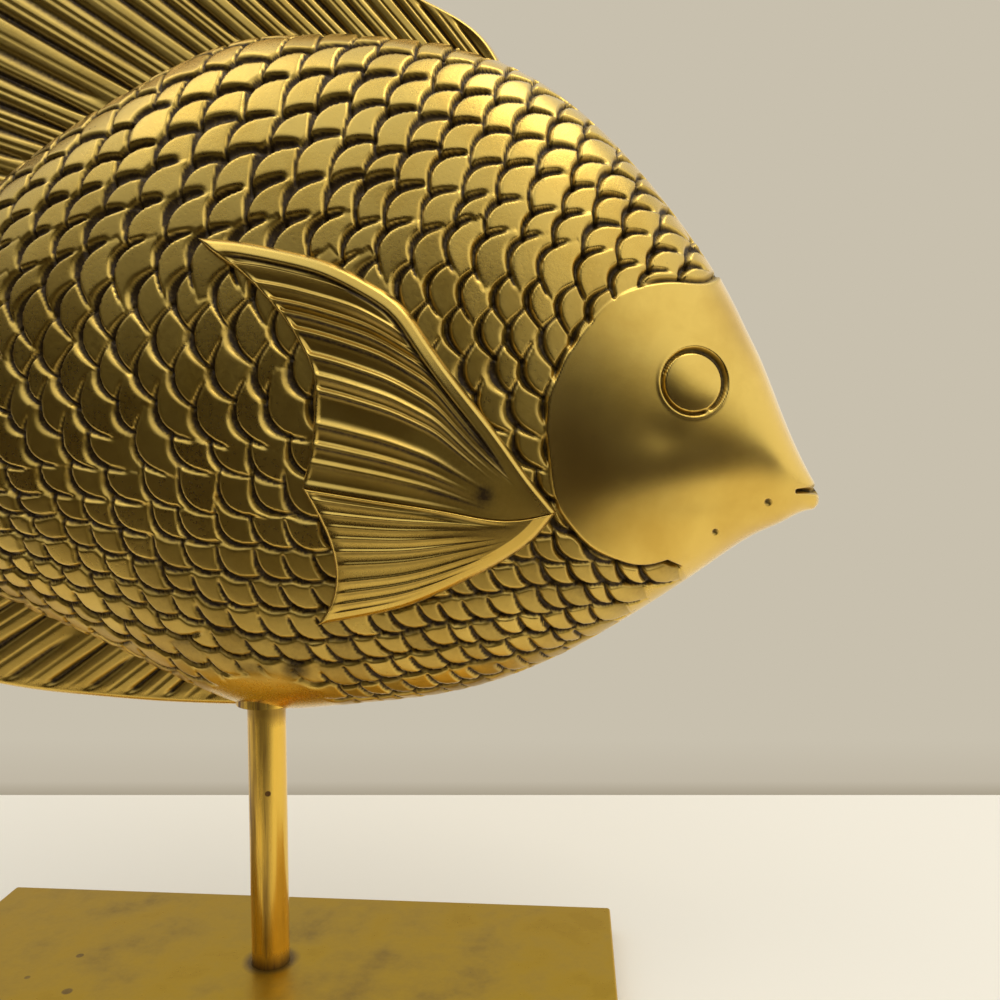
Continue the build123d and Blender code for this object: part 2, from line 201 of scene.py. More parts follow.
# Scales. They lie like tiles: each is a square whose free corner is round, is highest there, and slopes
# down to its root, which the next ones cover. A chased groove runs round the free sides.
scales = {
    "pitch": 9.0,
    "lowPitch": 6.9,  # near the belly
    "pitchChange": (-62.0, -8.0),
    "rowGap": 0.97,  # of the pitch
    "backFrom": 18.0,
    "rowShift": (0.30, 0.50),  # of the pitch, from one row to the next, on the back and lower down
    "places": (-12, 30),  # along a row
    "reach": 98.0,  # the rows end this far from the middle of the flank
    "rowsMeet": -70.0,
    "rowTilt": 0.0022,
    "shrinkToTail": 0.34,
    "crowdedFrom": 22.0,
    "crowding": 0.0022,
    "pulledBack": 0.22,
    "shrinkToGill": 0.18,
    "rise": 0.42,
    "dish": 0.10,
    "edgeDrop": 0.30,
    "cornerPower": 2.5,
    "tuckedUnder": 0.48,
    "grooveDepth": 1.30,
    "grooveWidth": 0.62,
    "grooveThick": 1.95,
    "finerBehindHead": 0.42,
    "clearOfRidge": (0.6, 4.2),  # from the seam to the first scales on the back, and more at the nape
    "clearBelow": 2.6,
    "jitter": 0.06,
    # how unevenly they are cut: one number is a spread, two are a least and a most
    "uneven": {"size": 0.03, "turn": 0.07, "lift": 0.07, "tilt": 0.06, "depth": (0.75, 1.2),
               "width": (0.8, 1.25), "film": (0.4, 1.5)},
    "seed": 11,
    # from the bottom of the flank, -95 mm along the skin, to its top, 95
    "edgeTurn": [(-95, 260), (-70, 252), (-48, 242), (-25, 220), (0, 194), (22, 160), (45, 140), (95, 134)],
    "thickTurn": [(-95, 250), (-48, 228), (-20, 216), (10, 190), (25, 130), (40, 104), (95, 100)],
    "sideReach": [(-95, 0.52), (-48, 0.52), (-15, 0.50), (15, 0.50), (40, 0.52), (95, 0.52)],
    "grooveShare": [(-95, 0.58), (-48, 0.62), (-25, 0.82), (10, 0.92), (30, 1.0), (95, 1.0)],
    # how much each scale's face is darkened, most towards the bottom of the flank
    "faceDarkening": [(-95, 0.56), (-50, 0.48), (-28, 0.28), (8, 0.34), (26, 0.13), (55, 0.10), (95, 0.20)],
    "cleanWall": [(-95, 0.30), (-45, 0.42), (-20, 0.62), (12, 0.62), (30, 0.30), (95, 0.22)],
}


def atHeight(name, v):
    return np.interp(v, *zip(*scales[name]))


def turnAt(name, v):
    return np.radians(atHeight(name, v))


def scaleSpots(random):
    # the middle, size and facing of each scale on the unrolled flank, in the order that they are laid
    spots = []
    for up in (1, -1):
        v, shift = (0.0, 0.0) if up > 0 else (-scales["pitch"] * scales["rowGap"], -0.5)
        while abs(v) < scales["reach"]:
            share = float(ease(v, *scales["pitchChange"]))
            pitch = scales["lowPitch"] + (scales["pitch"] - scales["lowPitch"]) * share
            for i in range(*scales["places"]):
                x = scales["rowsMeet"] + (i + shift) * pitch
                ahead = max(x - scales["crowdedFrom"], 0)
                x -= scales["pulledBack"] * ahead
                far = 1 - scales["shrinkToTail"] * float(ease(-x, -10, 130))
                lean = 1 + scales["rowTilt"] * min(x, 25) - scales["crowding"] * ahead
                smaller = 1 - scales["shrinkToGill"] * float(ease(ahead, 0, 35))
                size = pitch * (0.93 + 0.07 * lean) * (0.4 + 0.6 * far) * smaller
                spots.append((x, v * far * lean, size))
            shift += up * scales["rowShift"][0 if v > scales["backFrom"] else 1]
            v += up * pitch * scales["rowGap"]
    spots = np.array(spots)
    spots[:, :2] += random.normal(0, scales["jitter"], (len(spots), 2)) * spots[:, 2:]
    spots[:, 2] *= random.normal(1, scales["uneven"]["size"], len(spots))
    turn = turnAt("edgeTurn", spots[:, 1])
    heights = np.linspace(-100, 100, 201)
    pull = np.cumsum(np.clip(np.tan(turnAt("edgeTurn", heights)), -3, 3))
    order = np.argsort(spots[:, 0] + np.interp(spots[:, 1], heights, pull))
    return [(spots[k], turn[k]) for k in order]


def paintScales(x, v, seed):
    # relief and depth of patina of the scales over the unrolled flank
    random = np.random.default_rng(seed)
    uneven = scales["uneven"]
    relief = np.zeros(v.shape)
    patina = np.zeros(v.shape)
    for (cx, cv, pitch), turn in scaleSpots(random):
        turn += random.normal(0, uneven["turn"])
        lift = random.normal(0, uneven["lift"])
        tiltAcross = random.normal(0, uneven["tilt"])
        depth = scales["grooveDepth"] * random.uniform(*uneven["depth"])
        widthScale = random.uniform(*uneven["width"])
        # face darkening: more towards the bottom of the flank, uneven from scale to scale
        film = atHeight("faceDarkening", cv) * random.uniform(*uneven["film"])
        sides, bare = atHeight("sideReach", cv), atHeight("cleanWall", cv)
        around = 1.3 * pitch
        low, high = np.searchsorted(-x, [-(cx + around), -(cx - around)])
        if high - low < 2:
            continue
        rows = np.where(np.abs(v[(low + high) // 2] - cv) < around)[0]
        if len(rows) < 2:
            continue
        window = (slice(low, high), slice(rows[0], rows[-1] + 1))
        dv = v[window] - cv
        dx = x[low:high, None] - cx + 0 * dv
        out = (dx * math.cos(turn) + dv * math.sin(turn)) / pitch
        side = (-dx * math.sin(turn) + dv * math.cos(turn)) / pitch
        # how far towards each of the two free sides
        first = ((out - side) * math.sqrt(0.5) + 0.5) / (0.5 + sides)
        second = ((out + side) * math.sqrt(0.5) + 0.5) / (0.5 + sides)
        power = scales["cornerPower"]
        radius = (np.maximum(first, 0) ** power + np.maximum(second, 0) ** power) ** (1 / power)
        tucked = np.minimum(first, second) + scales["tuckedUnder"]
        inward = np.minimum((1 - radius) * (0.5 + sides), tucked) * pitch
        shown = ease(np.minimum(first, second), -0.30, 0.02)
        heading = np.arctan2(dv, dx)
        thick = np.clip(np.cos(heading - turnAt("thickTurn", cv)), 0, 1) ** 1.5
        finer = 1 - scales["finerBehindHead"] * float(ease(cx, 15, 60) * ease(cv, 0, 25))
        widest = scales["grooveThick"] * atHeight("grooveShare", cv) * finer
        width = (scales["grooveWidth"] + (widest - scales["grooveWidth"]) * thick) * widthScale
        groove = np.exp(-(np.maximum(-inward, 0) / width) ** 4)
        groove = np.where(inward > 0.3, 0, groove) * shown
        face = scales["rise"] * (out + 0.1) + lift + tiltAcross * side * 2
        face += scales["dish"] * (side / 0.6) ** 2 * np.clip(out + 0.3, 0, 1)
        face -= scales["edgeDrop"] * np.exp(-np.maximum(inward, 0) / 0.28)
        cover = ease(inward, -0.20, 0.42)
        old = relief[window] - depth * (0.55 + 0.45 * thick) * groove
        relief[window] = old * (1 - cover) + face * cover
        stain = np.maximum(patina[window], ease(groove, bare - 0.15, bare + 0.20))
        rooted = film * (0.6 + 0.8 * np.clip(-out - 0.1, 0, 1))
        rubbed = 0.2 * np.exp(-np.maximum(inward, 0) / 0.3)
        patina[window] = stain * (1 - cover) + np.maximum(rubbed, rooted) * cover
    return relief, patina


# Head: smooth metal in front of the gill cover's edge, with the eye and the mouth
head = {
    "gillLine": [
        (112.0, 180.5), (106.8, 175.7), (100.2, 175.1), (94.3, 174.5), (88.7, 172.5), (83.7, 169.5),
        (79.6, 164.9), (76.0, 160.0), (73.2, 154.8), (71.3, 149.6), (70.5, 142.8), (71.4, 134.3),
        (73.5, 124.6), (76.4, 120.1), (80.7, 115.6), (86.6, 112.6), (91.0, 111.3), (94.7, 111.3),
        (98.2, 112.2),
    ],
    "chinLine": [(101.5, 110.6), (104.5, 106.0), (106.0, 98.0)],
    "gillRise": 0.45,
    "gillGrooveDepth": 0.95,
    "gillGrooveWidth": 0.55,
    "gillUncut": (18.0, 26.0, 76.0, 86.0),  # along the line: where the groove fades out and comes back
    "gillEnd": (112.0, 116.0),
    "eyeSpot": (103.0, 152.7),
    "eyeRadius": 7.0,
    "eyeDeepTurn": 38.0,
    "eyeOpenTurn": -62.0,
    "eyeGrooveDepth": 1.1,
    "eyeDome": 0.55,
    "mouthInner": (128.6, 128.0),
    "mouthReach": (9.0, 0.3),
    "mouthDepth": 1.9,
    "upperLipX": 133.5,
    "bumps": [  # soft hollows and swellings of the skull and cheek: x, z, reach along, reach up, height
        (90.0, 131.0, 12.0, 9.0, 0.5), (113.0, 165.0, 12.0, 5.0, -0.25), (112.0, 126.0, 12.0, 4.0, -0.35),
        (97.0, 141.0, 5.0, 4.0, -0.2),
    ],
    "castPits": [(121.4, 125.6, 0.75), (109.2, 118.9, 0.65)],  # x, z, radius
}
belly = {  # filed smooth over the bar, and stained by hands
    "filedMiddle": 3.0,
    "filedStretch": 1.4,
    "filedReach": (10.5, 13.5),
    "stains": [  # x, z, reach along, reach up, depth
        (12.0, 86.5, 4.0, 3.6, 0.95), (2.0, 86.5, 8.0, 3.0, 0.6), (-8.0, 85.5, 5.0, 2.4, 0.45),
    ],
}


def shapeHead(x, z, onHead):
    # relief of the smooth head
    relief = np.zeros(z.shape)
    for bumpX, bumpZ, along, tall, height in head["bumps"]:
        relief += height * np.exp(-((x - bumpX) / along) ** 2 - ((z - bumpZ) / tall) ** 2)
    return relief * onHead


def cutEye(x, z, relief, patina):
    # a ring groove round a low dome, open at its lower front
    eyeX, eyeZ = head["eyeSpot"]
    dx, dz = x - eyeX, z - eyeZ
    out = np.hypot(dx, dz)
    heading = np.arctan2(dz, dx)
    facing = np.clip(np.cos(heading - math.radians(head["eyeDeepTurn"])), -1, 1)
    wide = 0.32 + 0.40 * np.clip(facing, 0, 1)
    gap = 1 - 0.8 * np.exp(-((heading - math.radians(head["eyeOpenTurn"])) / 0.10) ** 2)
    ring = np.exp(-((out - head["eyeRadius"]) / wide) ** 4) * gap
    dome = head["eyeDome"] * np.clip(1 - (out / (head["eyeRadius"] - 0.4)) ** 2, 0, 1)
    burr = 0.10 * np.exp(-((out - head["eyeRadius"] - wide - 0.5) / 0.4) ** 2)
    relief += dome + burr - head["eyeGrooveDepth"] * ring
    patina[:] = np.maximum(patina, (0.78 + 0.2 * facing) * ring)


def buildFlank(seed):
    # grids of places, normals, patina and polish over one whole flank, the right one
    steps = [
        np.arange(lipsX, fish["headEnd"], -fish["headStep"]),
        np.arange(fish["headEnd"], fish["sightEnd"], -fish["flankStep"]),
        np.arange(fish["sightEnd"], fish["rootEnd"], -fish["rearStep"]),
    ]
    x = np.concatenate(steps)
    rows = fish["girthSteps"]
    middle, tall, half = bodyAt(x)
    fine = np.linspace(0, math.pi, 600)
    step = np.hypot(half[:, None] * np.cos(fine), tall[:, None] * np.sin(fine)) * (fine[1] - fine[0])
    run = np.cumsum(step, axis=1) - step / 2
    run -= run[:, :1]
    girth = run[:, -1]
    share = np.linspace(0, 1, rows + 1)
    angle = np.stack([np.interp(share * total, row, fine) for row, total in zip(run, girth)])
    v = (0.5 - share)[None, :] * girth[:, None]
    smooth = np.stack([
        x[:, None] + 0 * angle,
        -half[:, None] * np.sin(angle),
        middle[:, None] + tall[:, None] * np.cos(angle),
    ], -1)
    normal = surfaceNormals(smooth)
    if normal[len(x) // 2, rows // 2, 1] > 0:
        normal = -normal
    spots = smooth[..., [0, 2]]
    border = np.concatenate([throughPoints(head["gillLine"], 120), np.array(head["chinLine"])])
    loop = np.concatenate([border, [(145.0, 98.0), (145.0, 185.0), (112.0, 185.0)]])
    onHeadSide = insideOf(loop, spots)
    gap, along = distanceTo(border, spots)
    ahead = np.where(onHeadSide, gap, -gap)
    onHead = ease(ahead, -0.15, 0.35)
    toSeam = np.minimum(share, 1 - share)[None, :] * girth[:, None]
    upper = (share < 0.5)[None, :]
    ridge, nape = scales["clearOfRidge"]
    clear = np.where(upper, ridge + nape * ease(smooth[..., 0], 50, 62), scales["clearBelow"])
    chased = ease(toSeam, clear, clear + 0.9)
    fromBar = (smooth[..., 0] - belly["filedMiddle"]) / belly["filedStretch"]
    chased *= ease(np.hypot(fromBar, smooth[..., 2] - bellyZ), *belly["filedReach"])
    scaleRelief, patina = paintScales(x, v, seed)
    relief = scaleRelief * chased * (1 - onHead)
    patina *= chased * (1 - onHead)
    end = 1 - ease(along, *head["gillEnd"])
    uncut = head["gillUncut"]
    cut = 1 - 0.96 * ease(along, *uncut[:2]) * (1 - ease(along, *uncut[2:]))
    relief += shapeHead(spots[..., 0], spots[..., 1], onHead)
    relief += head["gillRise"] * onHead * np.exp(-np.maximum(ahead, 0) / 5.0) * end
    groove = np.exp(-((ahead + 0.25) / head["gillGrooveWidth"]) ** 2) * end * cut
    relief -= head["gillGrooveDepth"] * groove
    patina = np.maximum(patina, groove)
    cutEye(spots[..., 0], spots[..., 1], relief, patina)
    cutMouth(spots, relief, patina)
    for pitX, pitZ, radius in head["castPits"]:
        pit = np.exp(-(((spots[..., 0] - pitX) ** 2 + (spots[..., 1] - pitZ) ** 2) / radius ** 2) ** 2)
        relief -= 0.5 * pit
        patina = np.maximum(patina, 0.9 * pit)
    for stainX, stainZ, along, tall, depth in belly["stains"]:
        spread = ((spots[..., 0] - stainX) / along) ** 2 + ((spots[..., 1] - stainZ) / tall) ** 2
        patina = np.maximum(patina, depth * np.exp(-spread))
    relief *= ease(toSeam, -0.4, 1.2)
    points = smooth + normal * relief[..., None]
    points[..., 1] = np.minimum(points[..., 1], -0.02)
    points[:, 0, 1] = 0
    points[:, -1, 1] = 0
    slit = head["mouthInner"][1]
    upperLip = points[..., 2] > slit
    points[..., 0] = np.where(upperLip, np.minimum(points[..., 0], head["upperLipX"]), points[..., 0])
    shading = surfaceNormals(points)
    if shading[len(x) // 2, rows // 2, 1] > 0:
        shading = -shading
    shading[:, [0, -1], 1] = 0
    middleX = (fish["headEnd"] + fish["sightEnd"]) / 2
    cuts = np.searchsorted(-x, [-fish["headEnd"], -middleX, -fish["sightEnd"]])
    return points, shading, patina, onHead, [0] + list(cuts) + [len(x) - 1]


def cutMouth(spots, relief, patina):
    # the slit between the lips
    inner = np.array(head["mouthInner"])
    line = np.array([inner, inner + head["mouthReach"]])
    gap, along = distanceTo(line, spots)
    wide = 0.42 + 0.05 * along
    slit = np.exp(-(gap / wide) ** 2)
    relief -= head["mouthDepth"] * slit
    patina[:] = np.maximum(patina, slit)


# Turning grids into closed pieces


def addObject(name, data):
    added = bpy.data.objects.new(name, data)
    bpy.context.scene.collection.objects.link(added)
    return added


def makeMesh(name, points, faces, normals, layers, material, side="right"):
    # one finished piece, in metres at the origin, mirrored for the left side
    if side == "left":
        points, normals = points * [1, -1, 1], normals * [1, -1, 1]
        faces = [face[::-1] for face in faces]
    mesh = bpy.data.meshes.new(name)
    mesh.from_pydata((points * mm).tolist(), [], faces)
    for layer, values in layers.items():
        data = mesh.attributes.new(layer, "FLOAT", "POINT")
        data.data.foreach_set("value", np.asarray(values, np.float32))
    mesh.polygons.foreach_set("use_smooth", [True] * len(mesh.polygons))
    mesh.materials.append(material)
    mesh.update()
    if normals is not None:
        mesh.normals_split_custom_set_from_vertices(normals.tolist())
    return addObject(name, mesh)


def gridFaces(rows, columns, offset=0):
    corner = (np.arange(rows - 1)[:, None] * columns + np.arange(columns - 1)[None, :]).ravel() + offset
    return np.stack([corner, corner + 1, corner + columns + 1, corner + columns], -1)


def ringOf(rows, columns):
    # the border of a grid as one loop
    first = [(0, j) for j in range(columns)]
    second = [(i, columns - 1) for i in range(1, rows)]
    third = [(rows - 1, j) for j in range(columns - 2, -1, -1)]
    fourth = [(i, 0) for i in range(rows - 2, 0, -1)]
    return np.array([i * columns + j for i, j in first + second + third + fourth])


def outwardFirst(points, faces):
    # True if the faces already point away from the seam
    a, b, c = (points[faces[:, k]] for k in range(3))
    return np.cross(b - a, c - a)[:, 1].sum() < 0


def closedPiece(name, points, normals, layers, inner, material, side):
    # a grid closed by a wall from its border to an inner loop, and a lid on that loop
    rows, columns = points.shape[:2]
    flat = points.reshape(-1, 3)
    faces = gridFaces(rows, columns)
    ring = ringOf(rows, columns)
    base = len(flat)
    if not outwardFirst(flat, faces):
        faces = faces[:, ::-1]
        ring = ring[::-1]
    inside = inner(flat[ring])
    count = len(ring)
    nextSpot = np.roll(np.arange(count), -1)
    wall = np.stack([ring[nextSpot], ring, base + np.arange(count), base + nextSpot], -1)
    lid = list(range(base, base + count))
    allPoints = np.concatenate([flat, inside])
    allNormals = np.concatenate([normals.reshape(-1, 3), normals.reshape(-1, 3)[ring]])
    allLayers = {key: np.concatenate([value.ravel(), value.ravel()[ring]]) for key, value in layers.items()}
    faceList = faces.tolist() + wall.tolist() + [lid]
    return makeMesh(name, allPoints, faceList, allNormals, allLayers, material, side)


def flankPieces(side, seed, material):
    # the flank in four closed pieces that share their shading
    points, shading, patina, onHead, cuts = buildFlank(seed)
    names = ["head", "shoulder", "flank", "tail_root"]
    made = []
    for name, start, end in zip(names, cuts[:-1], cuts[1:]):
        part = slice(start, end + 1)
        grid, normal = points[part], shading[part]
        rows, columns = grid.shape[:2]
        flat = grid.reshape(-1, 3)
        faces = gridFaces(rows, columns)
        if not outwardFirst(flat, faces):
            faces = faces[:, ::-1]
        top = np.arange(rows) * columns
        back = np.stack([top[:-1], top[:-1] + columns - 1, top[1:] + columns - 1, top[1:]], -1)
        probe = np.cross(flat[back[0, 1]] - flat[back[0, 0]], flat[back[0, 2]] - flat[back[0, 0]])
        if probe[1] < 0:
            back = back[:, ::-1]
        front = list(range(columns))
        rear = [(rows - 1) * columns + j for j in range(columns)]
        a, b, c = flat[front[0]], flat[front[columns // 2]], flat[front[-1]]
        if np.cross(b - a, c - a)[0] < 0:
            front = front[::-1]
        else:
            rear = rear[::-1]
        faceList = faces.tolist() + back.tolist() + [front, rear]
        layers = {"patina": patina[part].ravel(), "smoothness": onHead[part].ravel()}
        normals = normal.reshape(-1, 3)
        made.append(makeMesh(f"{side}_{name}", flat, faceList, normals, layers, material, side))
    return made


# Upright fins and tail: plates with a fan of rays, thinner towards a rounded rim
fins = {
    "outlineStep": 0.62,
    "rayStep": 0.62,
    "outlinePoints": 900,  # on the smooth curves that the rays are found on
    "basePoints": 400,
    "rimRound": 1.5,
    "margin": 2.2,
    "grooveDepth": 0.95,
    "grooveHalf": (0.35, 0.70, 26.0),  # at the root, how much wider further out, and from how far
    "fineDepth": 0.4,
    "fineHalf": 0.40,
    "crown": 0.12,
    "bend": 0.09,  # of the gap between two rays
    "strength": (0.55, 1.2),
    "fineStrength": (0.0, 1.3),
    "begins": (-4, 9),  # from the root
    "fadeIn": 8.0,
    "stain": (1.25, 0.6, 0.16),  # in the grooves, in the fine ones, and all over
    "seamGap": 0.03,
}
# a taper is the place and half thickness at the rim, then at the root, along the fish or up (axis 0 or 1)
dorsal = {
    "outlineShares": [
        (0.240, 0.735), (0.255, 0.770), (0.302, 0.817), (0.365, 0.871), (0.435, 0.923), (0.506, 0.963),
        (0.577, 0.991), (0.635, 1.000), (0.694, 0.992), (0.752, 0.966), (0.798, 0.932), (0.811, 0.912),
        (0.808, 0.880), (0.788, 0.820), (0.765, 0.745), (0.750, 0.650), (0.740, 0.540),
    ],
    "rayShares": [
        (0.240, 0.715), (0.320, 0.738), (0.410, 0.740), (0.500, 0.706), (0.590, 0.637), (0.670, 0.552),
        (0.735, 0.482),
    ],
    "rayAngles": [127, 133, 141, 150, 162, 168, 173],
    "rays": 28,
    "taper": (281.0, 2.7, 225.0, 4.6),
    "taperAxis": 1,
}
anal = {
    "outlineShares": [
        (0.738, 0.205), (0.748, 0.165), (0.768, 0.132), (0.790, 0.105), (0.796, 0.085), (0.782, 0.070),
        (0.732, 0.045), (0.677, 0.025), (0.617, 0.011), (0.574, 0.006), (0.532, 0.002), (0.490, 0.000),
        (0.435, 0.001), (0.371, 0.012),
    ],
    "rayShares": [
        (0.735, 0.215), (0.685, 0.182), (0.630, 0.147), (0.575, 0.112), (0.520, 0.082), (0.465, 0.057),
        (0.400, 0.030),
    ],
    "rayAngles": [198, 204, 210, 214, 216, 224, 232],
    "rays": 14,
    "margin": 3.0,
    "taper": (73.5, 2.7, 94.25, 4.6),
    "taperAxis": 1,
}
tail = {
    "upperEdgeShares": [
        (0.786, 0.398), (0.839, 0.419), (0.887, 0.462), (0.938, 0.530), (0.978, 0.586), (0.990, 0.593),
    ],
    "lowerEdgeShares": [
        (0.786, 0.243), (0.839, 0.223), (0.887, 0.180), (0.935, 0.122), (0.974, 0.072), (0.987, 0.065),
    ],
    "tipShares": [
        (0.990, 0.593), (0.997, 0.588), (1.000, 0.574), (0.998, 0.480), (0.982, 0.330), (0.995, 0.180),
        (0.998, 0.085), (0.995, 0.068), (0.987, 0.065),
    ],
    "gridSize": (150.0, 95.0),  # along the tip, and out from the root
    "rays": 24,
    "taper": (-175.0, 2.4, -113.0, 5.4),
    "taperAxis": 0,
}


def fanOut(fin):
    # for each place on the outline, the place on the base line whose ray ends there
    outline = throughPoints(place(fin["outlineShares"]), fins["outlinePoints"])
    run = runAlong(outline)
    baseLine = throughPoints(place(fin["rayShares"]), fins["basePoints"])
    spot = np.linspace(0, 1, fins["basePoints"])
    angles = np.radians(np.interp(spot, np.linspace(0, 1, len(fin["rayAngles"])), fin["rayAngles"]))
    exits = np.zeros(fins["basePoints"])
    for k, (start, angle) in enumerate(zip(baseLine, angles)):
        out = np.array([math.cos(angle), math.sin(angle)])
        ahead = (outline - start) @ out
        aside = (outline - start) @ np.array([-out[1], out[0]])
        crossing = np.where((aside[:-1] * aside[1:] <= 0) & (ahead[:-1] > 0))[0]
        exits[k] = run[crossing[np.argmax(ahead[crossing])]] if len(crossing) else -1
    known = exits >= 0
    order = np.argsort(exits[known])
    count = int(run[-1] / fins["outlineStep"])
    spots = np.linspace(0, run[-1], count)
    rim = pickAt(spots, run, outline)
    baseSpot = np.interp(spots, exits[known][order], spot[known][order])
    root = pickAt(baseSpot, spot, baseLine)
    return rim, root, baseSpot


def finGrid(fin):
    # places in the side view, the ray that each belongs to, how far out it is, and the fin's free edge
    if "tipShares" in fin:
        first, last, tip = (place(fin[key]) for key in ("upperEdgeShares", "lowerEdgeShares", "tipShares"))
        across, out = (int(size / fins["outlineStep"]) for size in fin["gridSize"])
        spots = lobe(first, last, tip, across, out)
        rim = np.concatenate([throughPoints(first, 90), throughPoints(tip, 160)[1:],
                              throughPoints(last, 90)[::-1][1:]])
        ray = np.linspace(0, 1, across)[:, None] * fin["rays"] + 0 * spots[..., 0]
        ends = np.linspace(0, 1, out)[None, :] * np.linalg.norm(spots[:, -1] - spots[:, 0], axis=1)[:, None]
        return spots, ray, ends, rim
    rim, root, baseSpot = fanOut(fin)
    length = np.linalg.norm(rim - root, axis=1)
    count = int(length.max() / fins["rayStep"])
    share = np.linspace(0, 1, count + 1)
    share = 1 - (1 - share) ** 1.15
    spots = root[:, None, :] + (rim - root)[:, None, :] * share[None, :, None]
    ray = baseSpot[:, None] * fin["rays"] + 0 * share[None, :]
    return spots, ray, share[None, :] * length[:, None], rim[::2]


def drawPerRay(draw, low, high, count, ray):
    # a random value for each ray, and smoothly changing values between them
    return np.interp(ray, np.arange(count), draw(low, high, count))


def finPiece(name, fin, side, material, seed):
    spots, ray, fromRoot, rim = finGrid(fin)
    toRim = distanceTo(rim, spots)[0]
    rimAt, rimHalf, baseAt, baseHalf = fin["taper"]
    half = rimHalf + (baseHalf - rimHalf) * (spots[..., fin["taperAxis"]] - rimAt) / (baseAt - rimAt)
    random = np.random.default_rng(seed)
    count = fin["rays"] + 2
    ray += drawPerRay(random.normal, 0, fins["bend"], count, ray)
    strength = drawPerRay(random.uniform, *fins["strength"], count, ray)
    fineStrength = drawPerRay(random.uniform, *fins["fineStrength"], count, ray)
    begin = drawPerRay(random.uniform, *fins["begins"], count, ray)
    strength = strength * ease(fromRoot, begin, begin + fins["fadeIn"])
    along = np.gradient(spots, axis=0)
    spacing = np.linalg.norm(along, axis=-1) / np.maximum(np.abs(np.gradient(ray, axis=0)), 1e-6)
    toGroove = np.abs(ray - np.round(ray)) * np.minimum(spacing, 20)
    toFine = np.abs(ray - 0.5 - np.round(ray - 0.5)) * np.minimum(spacing, 20)
    margin = fin.get("margin", fins["margin"])
    edge = ease(toRim, margin * 0.55, margin * 1.35)
    crowded = ease(spacing, 1.2, 2.6)
    narrow, wider, over = fins["grooveHalf"]
    wedge = narrow + wider * ease(fromRoot, 0, over)
    deep = np.exp(-(toGroove / wedge) ** 2) * edge * crowded * strength
    shallow = np.exp(-(toFine / fins["fineHalf"]) ** 2) * edge * crowded * np.clip(fineStrength, 0, 1)
    crown = fins["crown"] * np.cos(2 * math.pi * ray) * edge * crowded
    relief = -fins["grooveDepth"] * deep - fins["fineDepth"] * shallow - crown
    rounding = roundedEdge(toRim, fins["rimRound"])
    depth = np.maximum((half + relief) * rounding, fins["seamGap"])
    depth[toRim < 0.02] = fins["seamGap"]
    points = np.stack([spots[..., 0], -depth, np.minimum(spots[..., 1], crestZ)], -1)
    normals = facingNormals(points)
    inGroove, inFine, allOver = fins["stain"]
    patina = np.clip(inGroove * deep + inFine * shallow + allOver * edge, 0, 1)
    layers = {"patina": patina, "smoothness": np.full(patina.shape, 0.15)}

    def ontoSeam(ring):
        return ring * [1, 0, 1]

    return closedPiece(name, points, normals, layers, ontoSeam, material, side)


# The pectoral fin lies on the flank: two lobes that fan out from the gill cover
pectoral = {
    "rise": 1.75,
    "leading": [
        (72.9, 124.3), (67.3, 131.4), (60.9, 140.6), (51.0, 153.6), (45.0, 162.2), (39.9, 169.0),
        (33.1, 173.7), (24.5, 178.0), (14.2, 180.9), (4.8, 182.8), (-5.3, 183.9),
    ],
    "divider": [(72.9, 124.3), (62.9, 122.6), (50.6, 124.4), (36.1, 126.8), (17.4, 129.8)],
    "lower": [
        (72.9, 124.0), (68.3, 118.3), (60.6, 112.7), (50.1, 107.1), (39.2, 102.4), (26.0, 99.2), (18.5, 97.7),
    ],
    "upperTip": [
        (-5.3, 183.9), (-2.3, 180.8), (3.8, 176.6), (9.3, 171.6), (14.4, 165.8), (17.8, 160.5), (20.4, 154.7),
        (20.7, 146.2), (20.0, 139.4), (17.4, 129.8),
    ],
    "lowerTip": [(17.4, 129.8), (21.3, 122.1), (23.5, 115.4), (23.9, 110.1), (22.0, 102.8), (18.5, 97.7)],
    "upperForm": {"rays": 13, "flute": 0.66, "rim": 3.3, "tipMargin": 1.2, "edgeMargin": 0.8, "stain": 0.9,
                  "rimTilt": 0.85, "edgeTilt": 0.0, "olive": 0.20, "rootStain": 0.55, "lastRound": False},
    "lowerForm": {"rays": 11, "flute": 0.40, "rim": 1.0, "tipMargin": 3.0, "edgeMargin": 3.2, "stain": 0.6,
                  "rimTilt": 0.0, "edgeTilt": 0.6, "olive": 0.05, "rootStain": 0.0, "lastRound": True},
    "valley": 0.26,
    "darkLine": (0.17, 0.13),  # its place and half width within a ray, as shares
    "bend": 0.16,  # of the gap between two rays
    "strength": (0.55, 1.15),
    "begins": (-5, 7),  # from the root
    "rimRound": 1.3,
    "sunk": 0.4,  # its edge lies this deep in the flank
    "underside": 1.6,  # how much deeper its closed back lies
    "rootSpot": (57.5, 128.0, 2.2),
    "rootFade": (11.0, 30.0),
    "gridSize": (80.0, 105.0),  # along the tip, and out from the root
    "step": 0.5,
}


def lobe(first, last, tip, count, tall):
    # a patch between two edges that start at one root and a tip that joins them
    first, last = throughPoints(first, tall), throughPoints(last, tall)
    tip = throughPoints(tip, count)
    across = np.linspace(0, 1, count)[:, None, None]
    along = np.linspace(0, 1, tall)[None, :, None]
    ruled = first[None] * (1 - across) + last[None] * across
    ends = tip[:, None, :] - (tip[0] * (1 - across) + tip[-1] * across)
    return ruled + ends * along ** 1.3


